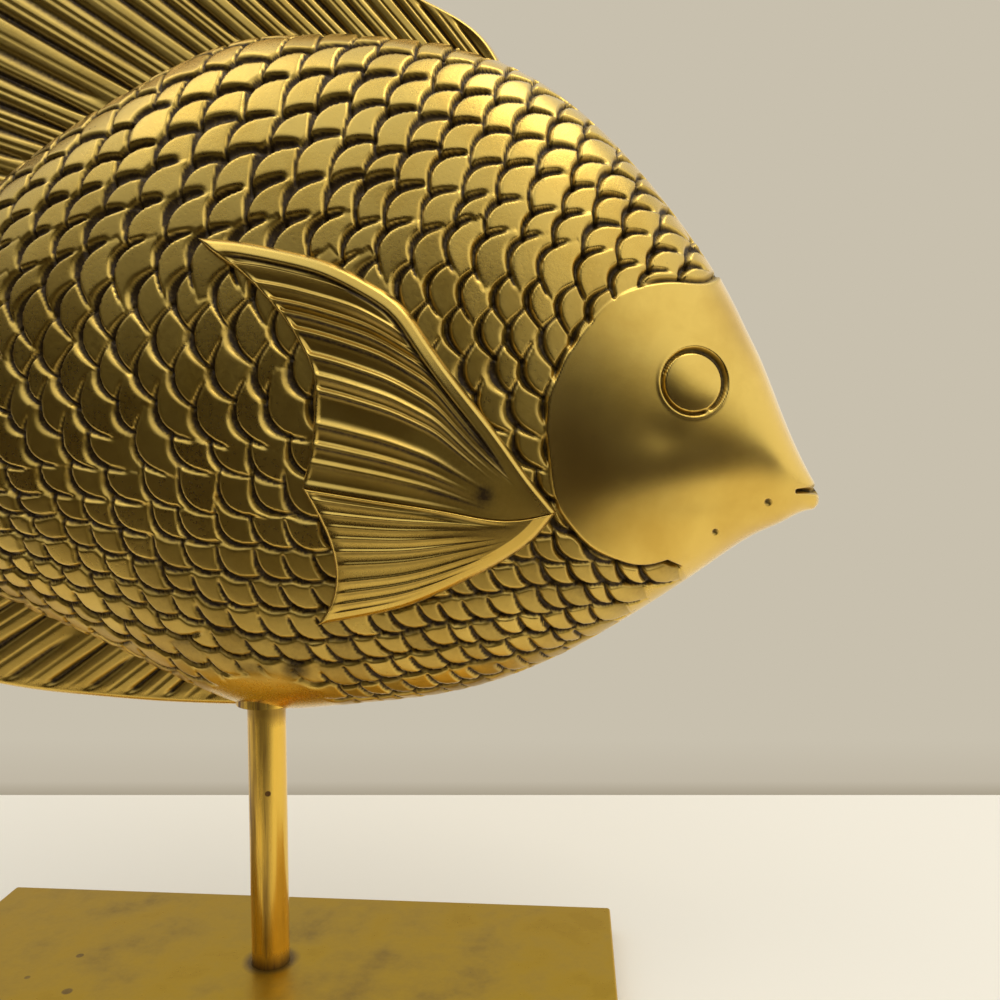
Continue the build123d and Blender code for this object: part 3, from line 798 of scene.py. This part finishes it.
def lobePiece(name, first, last, tip, lobeForm, side, material, seed):
    count, tall = (int(size / pectoral["step"]) for size in pectoral["gridSize"])
    spots = lobe(first, last, tip, count, tall)
    spread = np.linalg.norm(np.gradient(spots, axis=0), axis=-1) * (count - 1)
    rays = lobeForm["rays"]
    ray = np.linspace(0, 1, count)[:, None] * rays + 0 * spread
    toFirst, toTip, toLast = (distanceTo(throughPoints(line, 60), spots)[0] for line in (first, tip, last))
    # the lobes meet without a groove: only the lower one has a rounded edge there
    toEdge = np.minimum(toFirst, toTip)
    if lobeForm["lastRound"]:
        toEdge = np.minimum(np.minimum(2.4 * toFirst, toTip), toLast)
    spacing = spread / rays
    random = np.random.default_rng(seed)
    ray = ray + drawPerRay(random.normal, 0, pectoral["bend"], rays + 1, ray) * ease(spacing, 0.5, 3.0)
    strength = drawPerRay(random.uniform, *pectoral["strength"], rays + 1, ray)
    fromRoot = np.hypot(spots[..., 0] - first[0][0], spots[..., 1] - first[0][1])
    fadeStart = drawPerRay(random.uniform, *pectoral["begins"], rays + 1, ray)
    fade = ease(fromRoot - fadeStart, *pectoral["rootFade"]) * ease(toTip, 0.4, lobeForm["tipMargin"] + 0.5)
    fade *= ease(toFirst, lobeForm["rim"] - 0.2, lobeForm["rim"] + 0.5)
    fade *= ease(toLast, lobeForm["edgeMargin"] * 0.5, lobeForm["edgeMargin"] + 0.3)
    part = ray - np.floor(ray)
    valley = pectoral["valley"]
    flute = (1 - (1 - np.minimum(part / (1 - valley), 1)) ** 1.8) * (1 - ease(part, 1 - valley, 1))
    flute = flute * fade * strength * np.clip(spacing / 3.5, 0.3, 1.4)
    lineAt, lineHalf = pectoral["darkLine"]
    darkLine = np.exp(-((part - lineAt) / lineHalf) ** 2) * fade * strength
    besideRim = np.exp(-((toFirst - lobeForm["rim"] - 0.3) / 0.5) ** 2)
    besideRim *= ease(fromRoot, 8, 25) * ease(toTip, 0.4, 3)
    rounding = roundedEdge(toEdge, pectoral["rimRound"])
    rise = pectoral["rise"] * (0.72 + 0.28 * ease(spots[..., 0], 74, 30))
    tilt = lobeForm["rimTilt"] * (0.15 + 0.85 * ease(fromRoot, 18, 55))
    rise = rise + tilt * (np.clip(toFirst / lobeForm["rim"], 0, 1) - ease(toFirst, 3.0, 9.0))
    rise = rise + lobeForm["edgeTilt"] * np.clip(toLast / lobeForm["edgeMargin"], 0, 1)
    carved = lobeForm["flute"] * (1.2 * flute + 0.9 * besideRim)
    lift = -pectoral["sunk"] + (rise + pectoral["sunk"] - carved) * rounding
    depth = flankDepth(spots)
    limit = -flankLow.y - 0.03
    points = np.stack([spots[..., 0], -np.minimum(depth + lift, limit), spots[..., 1]], -1)
    normals = facingNormals(points)
    # darker along the lobe's rounded edges, where it meets the flank
    edgeDarkening = 0.7 * np.exp(-(toEdge / 0.30) ** 2)
    rootStain = lobeForm["rootStain"] * np.exp(-((fromRoot - 19) / 12) ** 2) * ease(toEdge, 0.5, 3)
    olive = lobeForm["olive"] * fade + rootStain
    spotX, spotZ, reach = pectoral["rootSpot"]
    rootSpot = 0.55 * np.exp(-((spots[..., 0] - spotX) ** 2 + (spots[..., 1] - spotZ) ** 2) / reach ** 2)
    stain = np.clip(lobeForm["stain"] * (darkLine + besideRim) + edgeDarkening + olive + rootSpot, 0, 1)
    layers = {"patina": stain, "smoothness": np.full(stain.shape, 0.75)}

    def intoFlank(ring):
        return ring + [0, pectoral["underside"], 0]

    return closedPiece(name, points, normals, layers, intoFlank, material, side)


# Finishes


def nodeGroup(name, kind, inputs, outputs):
    # a node group, what it is given, and the sockets of its results
    group = bpy.data.node_groups.new(name, kind)
    for label, socketKind, value in inputs:
        socket = group.interface.new_socket(name=label, in_out="INPUT", socket_type=f"NodeSocket{socketKind}")
        if value is not None:
            socket.default_value = value
    for label, socketKind in outputs:
        group.interface.new_socket(name=label, in_out="OUTPUT", socket_type=f"NodeSocket{socketKind}")
    return group, group.nodes.new("NodeGroupInput").outputs, group.nodes.new("NodeGroupOutput").inputs


def addNode(tree, kind, feeds=None, **settings):
    # one node, with a value or another node's output for each socket named
    node = tree.nodes.new(kind)
    for key, value in settings.items():
        setattr(node, key, value)
    for key, source in (feeds or {}).items():
        if isinstance(source, bpy.types.NodeSocket):
            tree.links.new(source, node.inputs[key])
        else:
            node.inputs[key].default_value = source
    return node


def addMath(tree, operation, *terms, **settings):
    return addNode(tree, "ShaderNodeMath", dict(enumerate(terms)), operation=operation, **settings).outputs[0]


def addRange(tree, source, start, end, low=0.0, high=1.0, **settings):
    # the source's start to end becomes low to high
    limits = {"Value": source, "From Min": start, "From Max": end, "To Min": low, "To Max": high}
    return addNode(tree, "ShaderNodeMapRange", limits, **settings).outputs["Result"]


def addMix(tree, share, first, second, blend="MIX"):
    # the colour sockets of this node are 6 and 7, and its colour comes out of 2
    feeds = {0: share, 6: first, 7: second}
    return addNode(tree, "ShaderNodeMix", feeds, data_type="RGBA", blend_type=blend).outputs[2]


def addRamp(tree, source, stops):
    ramp = addNode(tree, "ShaderNodeValToRGB", {"Fac": source})
    elements = ramp.color_ramp.elements
    elements[0].position, elements[0].color = stops[0]
    elements[1].position, elements[1].color = stops[-1]
    for position, colour in stops[1:-1]:
        elements.new(position).color = colour
    return ramp.outputs["Color"]


def addNoise(tree, spot, scale, detail, roughness):
    feeds = {"Vector": spot, "Scale": scale, "Detail": detail, "Roughness": roughness}
    return addNode(tree, "ShaderNodeTexNoise", feeds).outputs["Fac"]


def objectSpot(tree):
    return addNode(tree, "ShaderNodeTexCoord").outputs["Object"]


def newMaterial(name):
    material = bpy.data.materials.new(name)
    material.use_nodes = True
    material.node_tree.nodes.clear()
    return material, material.node_tree


def showSurface(tree, shader):
    addNode(tree, "ShaderNodeOutputMaterial", {"Surface": shader})


oldMetal = {
    "pitScale": 260.0,
    "pitEdge": (0.10, 0.02),
    "pitsWhere": (0.56, 0.66),  # in the blotches
    "filmWhere": (0.40, 0.72),
    "grooveDirt": (0.72, 0.55),  # everywhere, and with the grain
    "onSmooth": 0.12,  # what is left of stain and grain on the smooth head
    "bumpDepth": 0.0004,
    "coatRoughness": 0.30,
}


def buildAgedMetal():
    # tone, stain and grain of old brass, shared by every brass finish
    group, given, results = nodeGroup(
        "agedMetal", "ShaderNodeTree",
        [("Patina", "Float", 0.0), ("Blotch Size", "Float", 60.0), ("Grain Size", "Float", 900.0),
         ("Stain Amount", "Float", 0.5), ("Smoothness", "Float", 0.0),
         ("Stretch", "Vector", (1.0, 1.0, 1.0))],
        [("Tone", "Float"), ("Stain", "Float"), ("Grain", "Float")],
    )
    turned = addNode(group, "ShaderNodeMapping", {"Vector": objectSpot(group), "Scale": given["Stretch"]})
    spot = turned.outputs["Vector"]
    blotch = addNoise(group, spot, given["Blotch Size"], 5.0, 0.6)
    grain = addNoise(group, spot, given["Grain Size"], 4.0, 0.7)
    pits = addNode(group, "ShaderNodeTexVoronoi", {
        "Vector": spot, "Scale": oldMetal["pitScale"], "Randomness": 1.0})
    pitMask = addRange(group, pits.outputs["Distance"], *oldMetal["pitEdge"])
    pitted = addMath(group, "MULTIPLY", pitMask, addRange(group, blotch, *oldMetal["pitsWhere"]))
    everywhere, withGrain = oldMetal["grooveDirt"]
    worn = addMath(group, "ADD", addMath(group, "MULTIPLY", grain, withGrain), everywhere)
    grooveStain = addMath(group, "MULTIPLY", given["Patina"], worn)
    rubbedClean = addRange(group, given["Smoothness"], 0.0, 1.0, 1.0, oldMetal["onSmooth"])
    amount = addMath(group, "MULTIPLY", rubbedClean, given["Stain Amount"])
    film = addMath(group, "MULTIPLY", addRange(group, blotch, *oldMetal["filmWhere"]), amount)
    stain = addMath(group, "MAXIMUM", grooveStain, film)
    stain = addMath(group, "MAXIMUM", stain, addMath(group, "MULTIPLY", pitted, rubbedClean), use_clamp=True)
    for label, source in (("Tone", blotch), ("Stain", stain), ("Grain", grain)):
        group.links.new(source, results[label])
    return group


plateTop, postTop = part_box("base_plate")[1].z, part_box("post")[1].z
brassFinishes = {  # dirt and painted shade lie round a place, out to a reach, this deep
    "castBrass": {
        "bright": (0.80, 0.535, 0.092, 1), "warm": (0.66, 0.415, 0.052, 1), "dark": (0.045, 0.025, 0.007, 1),
        "rough": (0.25, 0.60), "blotch": 55.0, "grain": 1100.0, "stain": 0.22, "bump": 0.10, "lacquer": 0.85,
        "stretch": (1.0, 1.0, 1.0), "dirtAndShade": [],
    },
    "barBrass": {
        "bright": (0.96, 0.63, 0.10, 1), "warm": (0.80, 0.48, 0.06, 1), "dark": (0.12, 0.05, 0.008, 1),
        "rough": (0.20, 0.45), "blotch": 330.0, "grain": 1500.0, "stain": 1.3, "bump": 0.03, "lacquer": 0.3,
        # paintedLightFrom: where the painted light on the bar's right side begins
        "stretch": (1.0, 1.0, 0.045), "paintedLightFrom": 0.0005,
        # on the bar: a cast pit, painted shade with patina in the joint round its foot, and a painted shadow
        # under the belly at its top
        "dirtAndShade": [((0.0014, -0.0045, 0.052), 0.0009, 1.0), ((0.0, 0.0, plateTop), 0.0066, 0.9),
                 ((0.0, 0.0, postTop), 0.0075, 0.6)],
    },
    "plateBrass": {
        "bright": (0.63, 0.39, 0.026, 1), "warm": (0.48, 0.285, 0.015, 1), "dark": (0.17, 0.095, 0.010, 1),
        "rough": (0.30, 0.55), "blotch": 60.0, "grain": 1000.0, "stain": 0.7, "bump": 0.06, "lacquer": 0.0,
        "stretch": (1.0, 1.0, 1.0),
        # on the plate: painted shade with patina round the post's foot, then three stains
        "dirtAndShade": [((0.0, 0.0, plateTop), 0.0078, 1.0), ((-0.050, -0.0015, plateTop), 0.0012, 0.9),
                 ((-0.045, -0.017, plateTop), 0.0015, 0.9), ((-0.058, -0.012, plateTop), 0.0009, 0.8)],
    },
}


def brassMaterial(name, agedMetal):
    finish = brassFinishes[name]
    material, tree = newMaterial(name)
    patina, smooth = [addNode(tree, "ShaderNodeAttribute", attribute_name=layer).outputs["Fac"]
                      for layer in ("patina", "smoothness")]
    spot = objectSpot(tree)
    # darker round each listed place: pits and stains, painted shade at the post's foot, and a painted shadow
    # under the belly
    for centre, reach, depth in finish["dirtAndShade"]:
        away = addNode(tree, "ShaderNodeVectorMath", {0: spot, 1: centre}, operation="DISTANCE")
        darkened = addRange(tree, away.outputs["Value"], reach, 0.7 * reach, 0.0, depth)
        patina = addMath(tree, "MAXIMUM", darkened, patina)
    amount = finish["stain"]
    if "paintedLightFrom" in finish:
        # painted light: from here rightwards, on the side the lamps light, the bar keeps little stain, so
        # that side reads lighter
        start = finish["paintedLightFrom"]
        across = addNode(tree, "ShaderNodeSeparateXYZ", {"Vector": spot}).outputs["X"]
        amount = addRange(tree, across, start, start + 0.002, amount, 0.1 * amount)
    aged = addNode(tree, "ShaderNodeGroup", {
        "Patina": patina, "Smoothness": smooth, "Stain Amount": amount, "Stretch": finish["stretch"],
        "Blotch Size": finish["blotch"], "Grain Size": finish["grain"]}, node_tree=agedMetal).outputs
    tone = addRamp(tree, aged["Tone"], [(0.35, finish["warm"]), (0.62, finish["bright"])])
    rough = addRange(tree, aged["Stain"], 0.0, 1.0, *finish["rough"])
    polished = addRange(tree, smooth, 0.0, 1.0, 1.0, oldMetal["onSmooth"])
    uneven = addRange(tree, aged["Grain"], 0.3, 0.7, -0.04, 0.05)
    height = addMath(tree, "MULTIPLY", aged["Grain"], polished)
    bump = addNode(tree, "ShaderNodeBump", {
        "Strength": finish["bump"], "Distance": oldMetal["bumpDepth"], "Height": height})
    shader = addNode(tree, "ShaderNodeBsdfPrincipled", {
        "Base Color": addMix(tree, aged["Stain"], tone, finish["dark"]),
        "Roughness": addMath(tree, "MULTIPLY_ADD", uneven, polished, rough),
        "Metallic": addRange(tree, aged["Stain"], 0.0, 1.0, 1.0, 0.85),
        "Coat Weight": addRange(tree, aged["Stain"], 0.0, 0.8, finish["lacquer"], 0.25),
        "Coat Roughness": oldMetal["coatRoughness"],
        "Normal": bump.outputs["Normal"],
    })
    showSurface(tree, shader.outputs["BSDF"])
    return material


def steelMaterial():
    material, tree = newMaterial("zincSteel")
    cloud = addNoise(tree, objectSpot(tree), 300.0, 4.0, 0.5)
    shader = addNode(tree, "ShaderNodeBsdfPrincipled", {
        "Base Color": addRamp(tree, cloud, [(0.3, (0.42, 0.42, 0.41, 1)), (0.7, (0.60, 0.60, 0.57, 1))]),
        "Roughness": addRange(tree, cloud, 0.0, 1.0, 0.28, 0.5),
        "Metallic": 1.0,
    })
    showSurface(tree, shader.outputs["BSDF"])
    return material


def feltMaterial():
    material, tree = newMaterial("woolFelt")
    fibre = addNoise(tree, objectSpot(tree), 1800.0, 6.0, 0.8)
    colour = addRamp(tree, fibre, [(0.3, (0.006, 0.005, 0.004, 1)), (0.75, (0.030, 0.024, 0.018, 1))])
    bump = addNode(tree, "ShaderNodeBump", {"Strength": 0.6, "Distance": 0.0004, "Height": fibre})
    shader = addNode(tree, "ShaderNodeBsdfPrincipled", {
        "Base Color": colour,
        "Roughness": 0.95,
        "Sheen Weight": 0.3,
        "Normal": bump.outputs["Normal"],
    })
    showSurface(tree, shader.outputs["BSDF"])
    return material


# Felt under the plate
feltPad = {
    "corner": 3.0, "cornerSteps": 8, "outline": 460.0, "step": 1.5, "fuzz": 0.12, "seed": 5,
    "fibreLength": 0.0006, "fibreWidth": 0.00005, "fibreSpacing": 0.0008, "fibreHeights": (0.55, 0.95),
}


def buildFelt(material):
    # a thin pad with soft, slightly uneven cut edges
    low, high = [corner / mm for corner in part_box("felt_pad")]
    radius = feltPad["corner"]
    random = np.random.default_rng(feltPad["seed"])
    outline = []
    for centreX, centreY, start in (
        (high.x - radius, high.y - radius, 0), (low.x + radius, high.y - radius, 90),
        (low.x + radius, low.y + radius, 180), (high.x - radius, low.y + radius, 270),
    ):
        for k in range(feltPad["cornerSteps"] + 1):
            angle = math.radians(start + 90 * k / feltPad["cornerSteps"])
            outline.append((centreX + radius * math.cos(angle), centreY + radius * math.sin(angle)))
    outline.append(outline[0])
    outline = evenly(np.array(outline), int(feltPad["outline"] / feltPad["step"]))[:-1]
    count = len(outline)
    centre = outline.mean(axis=0)
    levels = [(0.0, 0.35), (0.25, 0.0), (0.75, 0.0), (1.0, 0.30)]
    points, faces = [], []
    for height, back in levels:
        pull = back + np.abs(random.normal(0, feltPad["fuzz"], count))
        inward = (centre - outline) / np.linalg.norm(centre - outline, axis=1)[:, None]
        ring = outline + inward * pull[:, None]
        z = low.z + (high.z - low.z) * height
        points += [(x, y, z) for x, y in ring]
    for level in range(len(levels) - 1):
        for k in range(count):
            a, b = level * count + k, level * count + (k + 1) % count
            faces.append([a, b, b + count, a + count])
    faces.append(list(range(count))[::-1])
    faces.append(list(range((len(levels) - 1) * count, len(levels) * count)))
    piece = makeMesh("felt_base", np.array(points), faces, None, {}, material)
    fibres = buildFibres(outline, material)
    for part in (piece, fibres):
        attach(part, "root")
        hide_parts("felt_pad")


def buildFibreTree(material):
    # loose wool fibres along a line, leaning outwards
    tree, given, results = nodeGroup(
        "looseFibres", "GeometryNodeTree",
        [("Line", "Geometry", None), ("Fibre Length", "Float", feltPad["fibreLength"]),
         ("Fibre Width", "Float", feltPad["fibreWidth"]), ("Spacing", "Float", feltPad["fibreSpacing"]),
         ("Seed", "Int", feltPad["seed"])],
        [("Fibres", "Geometry")],
    )
    line = addNode(tree, "GeometryNodeMeshToCurve", {"Mesh": given["Line"]})
    spaced = addNode(tree, "GeometryNodeResampleCurve",
                     {"Curve": line.outputs["Curve"], "Length": given["Spacing"]}, mode="LENGTH")
    tangent = addNode(tree, "GeometryNodeInputTangent")
    outwards = addNode(tree, "ShaderNodeVectorMath", {0: tangent.outputs["Tangent"], 1: (0.0, 0.0, 1.0)},
                       operation="CROSS_PRODUCT")
    lean = addNode(tree, "FunctionNodeRandomValue", {
        "Min": (-1.2, -1.2, -0.5), "Max": (1.2, 1.2, 0.4), "Seed": given["Seed"]}, data_type="FLOAT_VECTOR")
    heading = addNode(tree, "ShaderNodeVectorMath", {0: outwards.outputs["Vector"], 1: lean.outputs["Value"]},
                      operation="ADD")
    turned = addNode(tree, "FunctionNodeAlignRotationToVector", {"Vector": heading.outputs["Vector"]},
                     axis="Z")
    fibre = addNode(tree, "GeometryNodeMeshCone", {
        "Vertices": 3, "Radius Bottom": given["Fibre Width"], "Depth": given["Fibre Length"]})
    sizes = addNode(tree, "FunctionNodeRandomValue", {2: 0.4, 3: 1.0, "Seed": given["Seed"]},
                    data_type="FLOAT")
    placed = addNode(tree, "GeometryNodeInstanceOnPoints", {
        "Points": spaced.outputs["Curve"], "Instance": fibre.outputs["Mesh"],
        "Rotation": turned.outputs["Rotation"], "Scale": sizes.outputs[1]})
    real = addNode(tree, "GeometryNodeRealizeInstances", {"Geometry": placed.outputs["Instances"]})
    finished = addNode(tree, "GeometryNodeSetMaterial", {
        "Geometry": real.outputs["Geometry"], "Material": material})
    tree.links.new(finished.outputs["Geometry"], results["Fibres"])
    return tree


def buildFibres(outline, material):
    count = len(outline)
    points = [(x * mm, y * mm, z * mm) for z in feltPad["fibreHeights"] for x, y in outline]
    edges = [(ring * count + k, ring * count + (k + 1) % count)
             for ring in range(len(feltPad["fibreHeights"])) for k in range(count)]
    rings = bpy.data.meshes.new("felt_fibres")
    rings.from_pydata(points, edges, [])
    piece = addObject("felt_fibres", rings)
    tree = buildFibreTree(material)
    grown = piece.modifiers.new("looseFibres", "NODES")
    grown.node_group = tree
    sockets = {item.name: item.identifier for item in tree.interface.items_tree if item.in_out == "INPUT"}
    for label, key in (("Fibre Length", "fibreLength"), ("Fibre Width", "fibreWidth"),
                       ("Spacing", "fibreSpacing"), ("Seed", "seed")):
        grown[sockets[label]] = feltPad[key]
    fuzzy = bpy.data.meshes.new_from_object(piece.evaluated_get(bpy.context.evaluated_depsgraph_get()))
    piece.modifiers.remove(grown)
    piece.data = fuzzy
    print("felt fibres:", len(fuzzy.polygons), "faces")
    return piece


# Stage, camera and light
view = {
    "place": (0.07548, -0.23036, 0.14138),
    "azimuth": 4.1,
    "down": 4.0,
    "lens": 34.2,
    "sensor": 36.0,
    "tableColour": (0.78, 0.72, 0.59, 1),
    "tableGlow": 0.16,
    # painted shade at the wall's foot: its two colours, then how high it reaches
    "wallFootShade": (0.40, 0.35, 0.26, 1),
    "wallLowShade": (0.53, 0.475, 0.375, 1),
    # a painted dark reflection that the front of the table shows to glossy rays: its colour, reach and turn
    "paintedDarkReflection": (0.03, 0.02, 0.01, 1),
    "paintedDarkReach": (-0.055, -0.24),
    "paintedDarkTurn": 0.28,
    "footShadeHeight": 0.022,
    "wallColour": (0.578, 0.527, 0.423, 1),
    "tableBack": 0.1287,
    "floorHalf": 3.0,
}


def buildStage():
    # a pale floor all round, and a plain wall behind the fish that is seen from its front only
    half, back = view["floorHalf"], view["tableBack"]
    turn = math.tan(math.radians(view["azimuth"]))
    table = bpy.data.meshes.new("table")
    corners = [(-half, -half, 0), (half, -half, 0), (half, half, 0), (-half, half, 0)]
    table.from_pydata(corners, [], [(0, 1, 2, 3)])
    wall = bpy.data.meshes.new("wall")
    left, right = back - half * turn, back + half * turn
    wall.from_pydata([(-half, left, 0), (half, right, 0), (half, right, half), (-half, left, half)], [],
                     [(0, 1, 2, 3)])
    for mesh, material in ((table, tableMaterial()), (wall, wallMaterial())):
        mesh.materials.append(material)
        addObject(mesh.name, mesh)


def tableMaterial():
    # painted dark reflection: to glossy rays the front of the table shows a dim colour in place of its paint,
    # standing in for a dark room in front of the fish
    material, tree = newMaterial("paintedTable")
    paint = addNode(tree, "ShaderNodeBsdfPrincipled", {
        "Base Color": view["tableColour"], "Roughness": 0.6,
        "Emission Color": view["tableColour"], "Emission Strength": view["tableGlow"]})
    spot = addNode(tree, "ShaderNodeSeparateXYZ", {"Vector": objectSpot(tree)}).outputs
    rightward = addMath(tree, "MAXIMUM", spot["X"], 0.0)
    towards = addMath(tree, "MULTIPLY_ADD", rightward, view["paintedDarkTurn"], spot["Y"])
    near = addRange(tree, towards, *view["paintedDarkReach"], interpolation_type="SMOOTHSTEP")
    glossy = addNode(tree, "ShaderNodeLightPath").outputs["Is Glossy Ray"]
    # the painted dark reflection's colour
    dim = addNode(tree, "ShaderNodeEmission", {"Color": view["paintedDarkReflection"]})
    mixed = addNode(tree, "ShaderNodeMixShader", {
        0: addMath(tree, "MULTIPLY", near, glossy), 1: paint.outputs["BSDF"], 2: dim.outputs["Emission"]})
    showSurface(tree, mixed.outputs["Shader"])
    return material


def wallMaterial():
    # plain paint with painted shade at its foot, where it meets the table, for the camera alone
    material, tree = newMaterial("paintedWall")
    height = addNode(tree, "ShaderNodeSeparateXYZ", {"Vector": objectSpot(tree)}).outputs["Z"]
    foot = addRange(tree, height, 0.0, view["footShadeHeight"])
    # painted shade: the wall darkens towards its foot
    tone = addRamp(tree, foot, [(0.0, view["wallFootShade"]), (0.25, view["wallLowShade"]), (1.0, view["wallColour"])])
    paint = addNode(tree, "ShaderNodeEmission", {"Strength": 1.0, "Color": tone})
    clear = addNode(tree, "ShaderNodeBsdfTransparent")
    behind = addNode(tree, "ShaderNodeNewGeometry").outputs["Backfacing"]
    camera = addNode(tree, "ShaderNodeLightPath").outputs["Is Camera Ray"]
    seen = addMath(tree, "MULTIPLY", addMath(tree, "SUBTRACT", 1.0, behind), camera)
    mixed = addNode(tree, "ShaderNodeMixShader", {
        0: seen, 1: clear.outputs["BSDF"], 2: paint.outputs["Emission"]})
    showSurface(tree, mixed.outputs["Shader"])
    return material


def buildCamera():
    camera = bpy.data.cameras.new("camera")
    camera.lens = view["lens"]
    camera.sensor_width = view["sensor"]
    camera.clip_start = 0.01
    camera.clip_end = 20
    holder = addObject("camera", camera)
    holder.location = view["place"]
    turn, down = math.radians(view["azimuth"]), math.radians(view["down"])
    ahead = Vector((-math.sin(turn) * math.cos(down), math.cos(turn) * math.cos(down), -math.sin(down)))
    holder.rotation_mode = "QUATERNION"
    holder.rotation_quaternion = ahead.to_track_quat("-Z", "Y")
    bpy.context.scene.camera = holder


room = {
    "fromBelow": [
        (0.0, (0.06, 0.045, 0.02, 1)), (0.40, (0.020, 0.014, 0.006, 1)), (0.58, (0.018, 0.013, 0.006, 1)),
        (0.67, (0.12, 0.11, 0.09, 1)), (0.76, (0.56, 0.58, 0.64, 1)), (0.87, (0.88, 0.92, 1.0, 1)),
        (1.0, (0.88, 0.92, 1.0, 1)),
    ],
    "sides": [
        ((1.0, 0.0, 0.0), 0.74, 0.90, (1.0, 0.97, 0.90, 1)),
        ((0.0, 1.0, 0.0), 0.05, 0.55, (0.56, 0.52, 0.42, 1)),
        ((0.72, -0.50, 0.48), 0.77, 0.93, (1.0, 1.0, 1.0, 1)),
        ((0.66, 0.74, 0.10), 0.76, 0.93, (1.0, 0.95, 0.84, 1)),
    ],
}


def buildWorld():
    # a bright ceiling, a dim room in front of the fish, and a pale wall behind it
    world = bpy.data.worlds.new("room")
    bpy.context.scene.world = world
    world.use_nodes = True
    tree = world.node_tree
    tree.nodes.clear()
    direction = addNode(tree, "ShaderNodeTexCoord").outputs["Generated"]
    upward = addNode(tree, "ShaderNodeSeparateXYZ", {"Vector": direction}).outputs["Z"]
    colour = addRamp(tree, addRange(tree, upward, -1.0, 1.0), room["fromBelow"])
    for towards, start, end, tone in room["sides"]:
        facing = addNode(tree, "ShaderNodeVectorMath", {0: direction, 1: towards}, operation="DOT_PRODUCT")
        mask = addRange(tree, facing.outputs["Value"], start, end)
        colour = addMix(tree, mask, colour, tone, "LIGHTEN")
    camera = addNode(tree, "ShaderNodeLightPath").outputs["Is Camera Ray"]
    shown = addMix(tree, camera, colour, view["wallColour"])
    background = addNode(tree, "ShaderNodeBackground", {"Strength": 1.0, "Color": shown})
    addNode(tree, "ShaderNodeOutputWorld", {"Surface": background.outputs["Background"]})


lamps = {
    "aim": (0.0, 0.0, 0.15),
    "size": 0.6,
    "colour": (1.0, 0.96, 0.88),
    "placeAndWatts": {"keyLamp": ((0.45, -0.20, 1.15), 3.0), "fillLamp": ((-0.45, -0.30, 1.15), 1.2)},
}


def buildLamps():
    for name, (spot, watts) in lamps["placeAndWatts"].items():
        lamp = bpy.data.lights.new(name, "AREA")
        lamp.size = lamps["size"]
        lamp.energy = watts
        lamp.color = lamps["colour"]
        holder = addObject(name, lamp)
        holder.location = spot
        holder.rotation_mode = "QUATERNION"
        holder.rotation_quaternion = (Vector(lamps["aim"]) - Vector(spot)).to_track_quat("-Z", "Y")


agedMetal = buildAgedMetal()
finishes = {name: brassMaterial(name, agedMetal) for name in brassFinishes}
zincSteel = steelMaterial()
print("finishes: done")

for node, finish in (
    ("post", finishes["barBrass"]), ("belly_socket", finishes["barBrass"]),
    ("base_plate", finishes["plateBrass"]), ("post_stud", zincSteel), ("base_screw", zincSteel),
):
    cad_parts[node].material_slots[0].material = finish

for side, seed in (("right", scales["seed"]), ("left", scales["seed"] + 1)):
    brass = finishes["castBrass"]
    pieces = flankPieces(side, seed, brass)
    print(side, "flank: done")
    pieces.append(finPiece(f"{side}_dorsal_fin", dorsal, side, brass, seed + 20))
    pieces.append(finPiece(f"{side}_anal_fin", anal, side, brass, seed + 30))
    pieces.append(finPiece(f"{side}_tail_fin", tail, side, brass, seed + 40))
    pieces.append(lobePiece(f"{side}_pectoral_upper", pectoral["leading"], pectoral["divider"],
                            pectoral["upperTip"], pectoral["upperForm"], side, brass, seed + 50))
    pieces.append(lobePiece(f"{side}_pectoral_lower", pectoral["divider"], pectoral["lower"],
                            pectoral["lowerTip"], pectoral["lowerForm"], side, brass, seed + 60))
    for piece in pieces:
        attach(piece, "root")
        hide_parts(f"{side}_flank_shell")
    print(side, "fins: done")

buildFelt(feltMaterial())
buildStage()
buildCamera()
buildWorld()
buildLamps()
bpy.context.scene.view_settings.view_transform = "Standard"
print("stage: done")
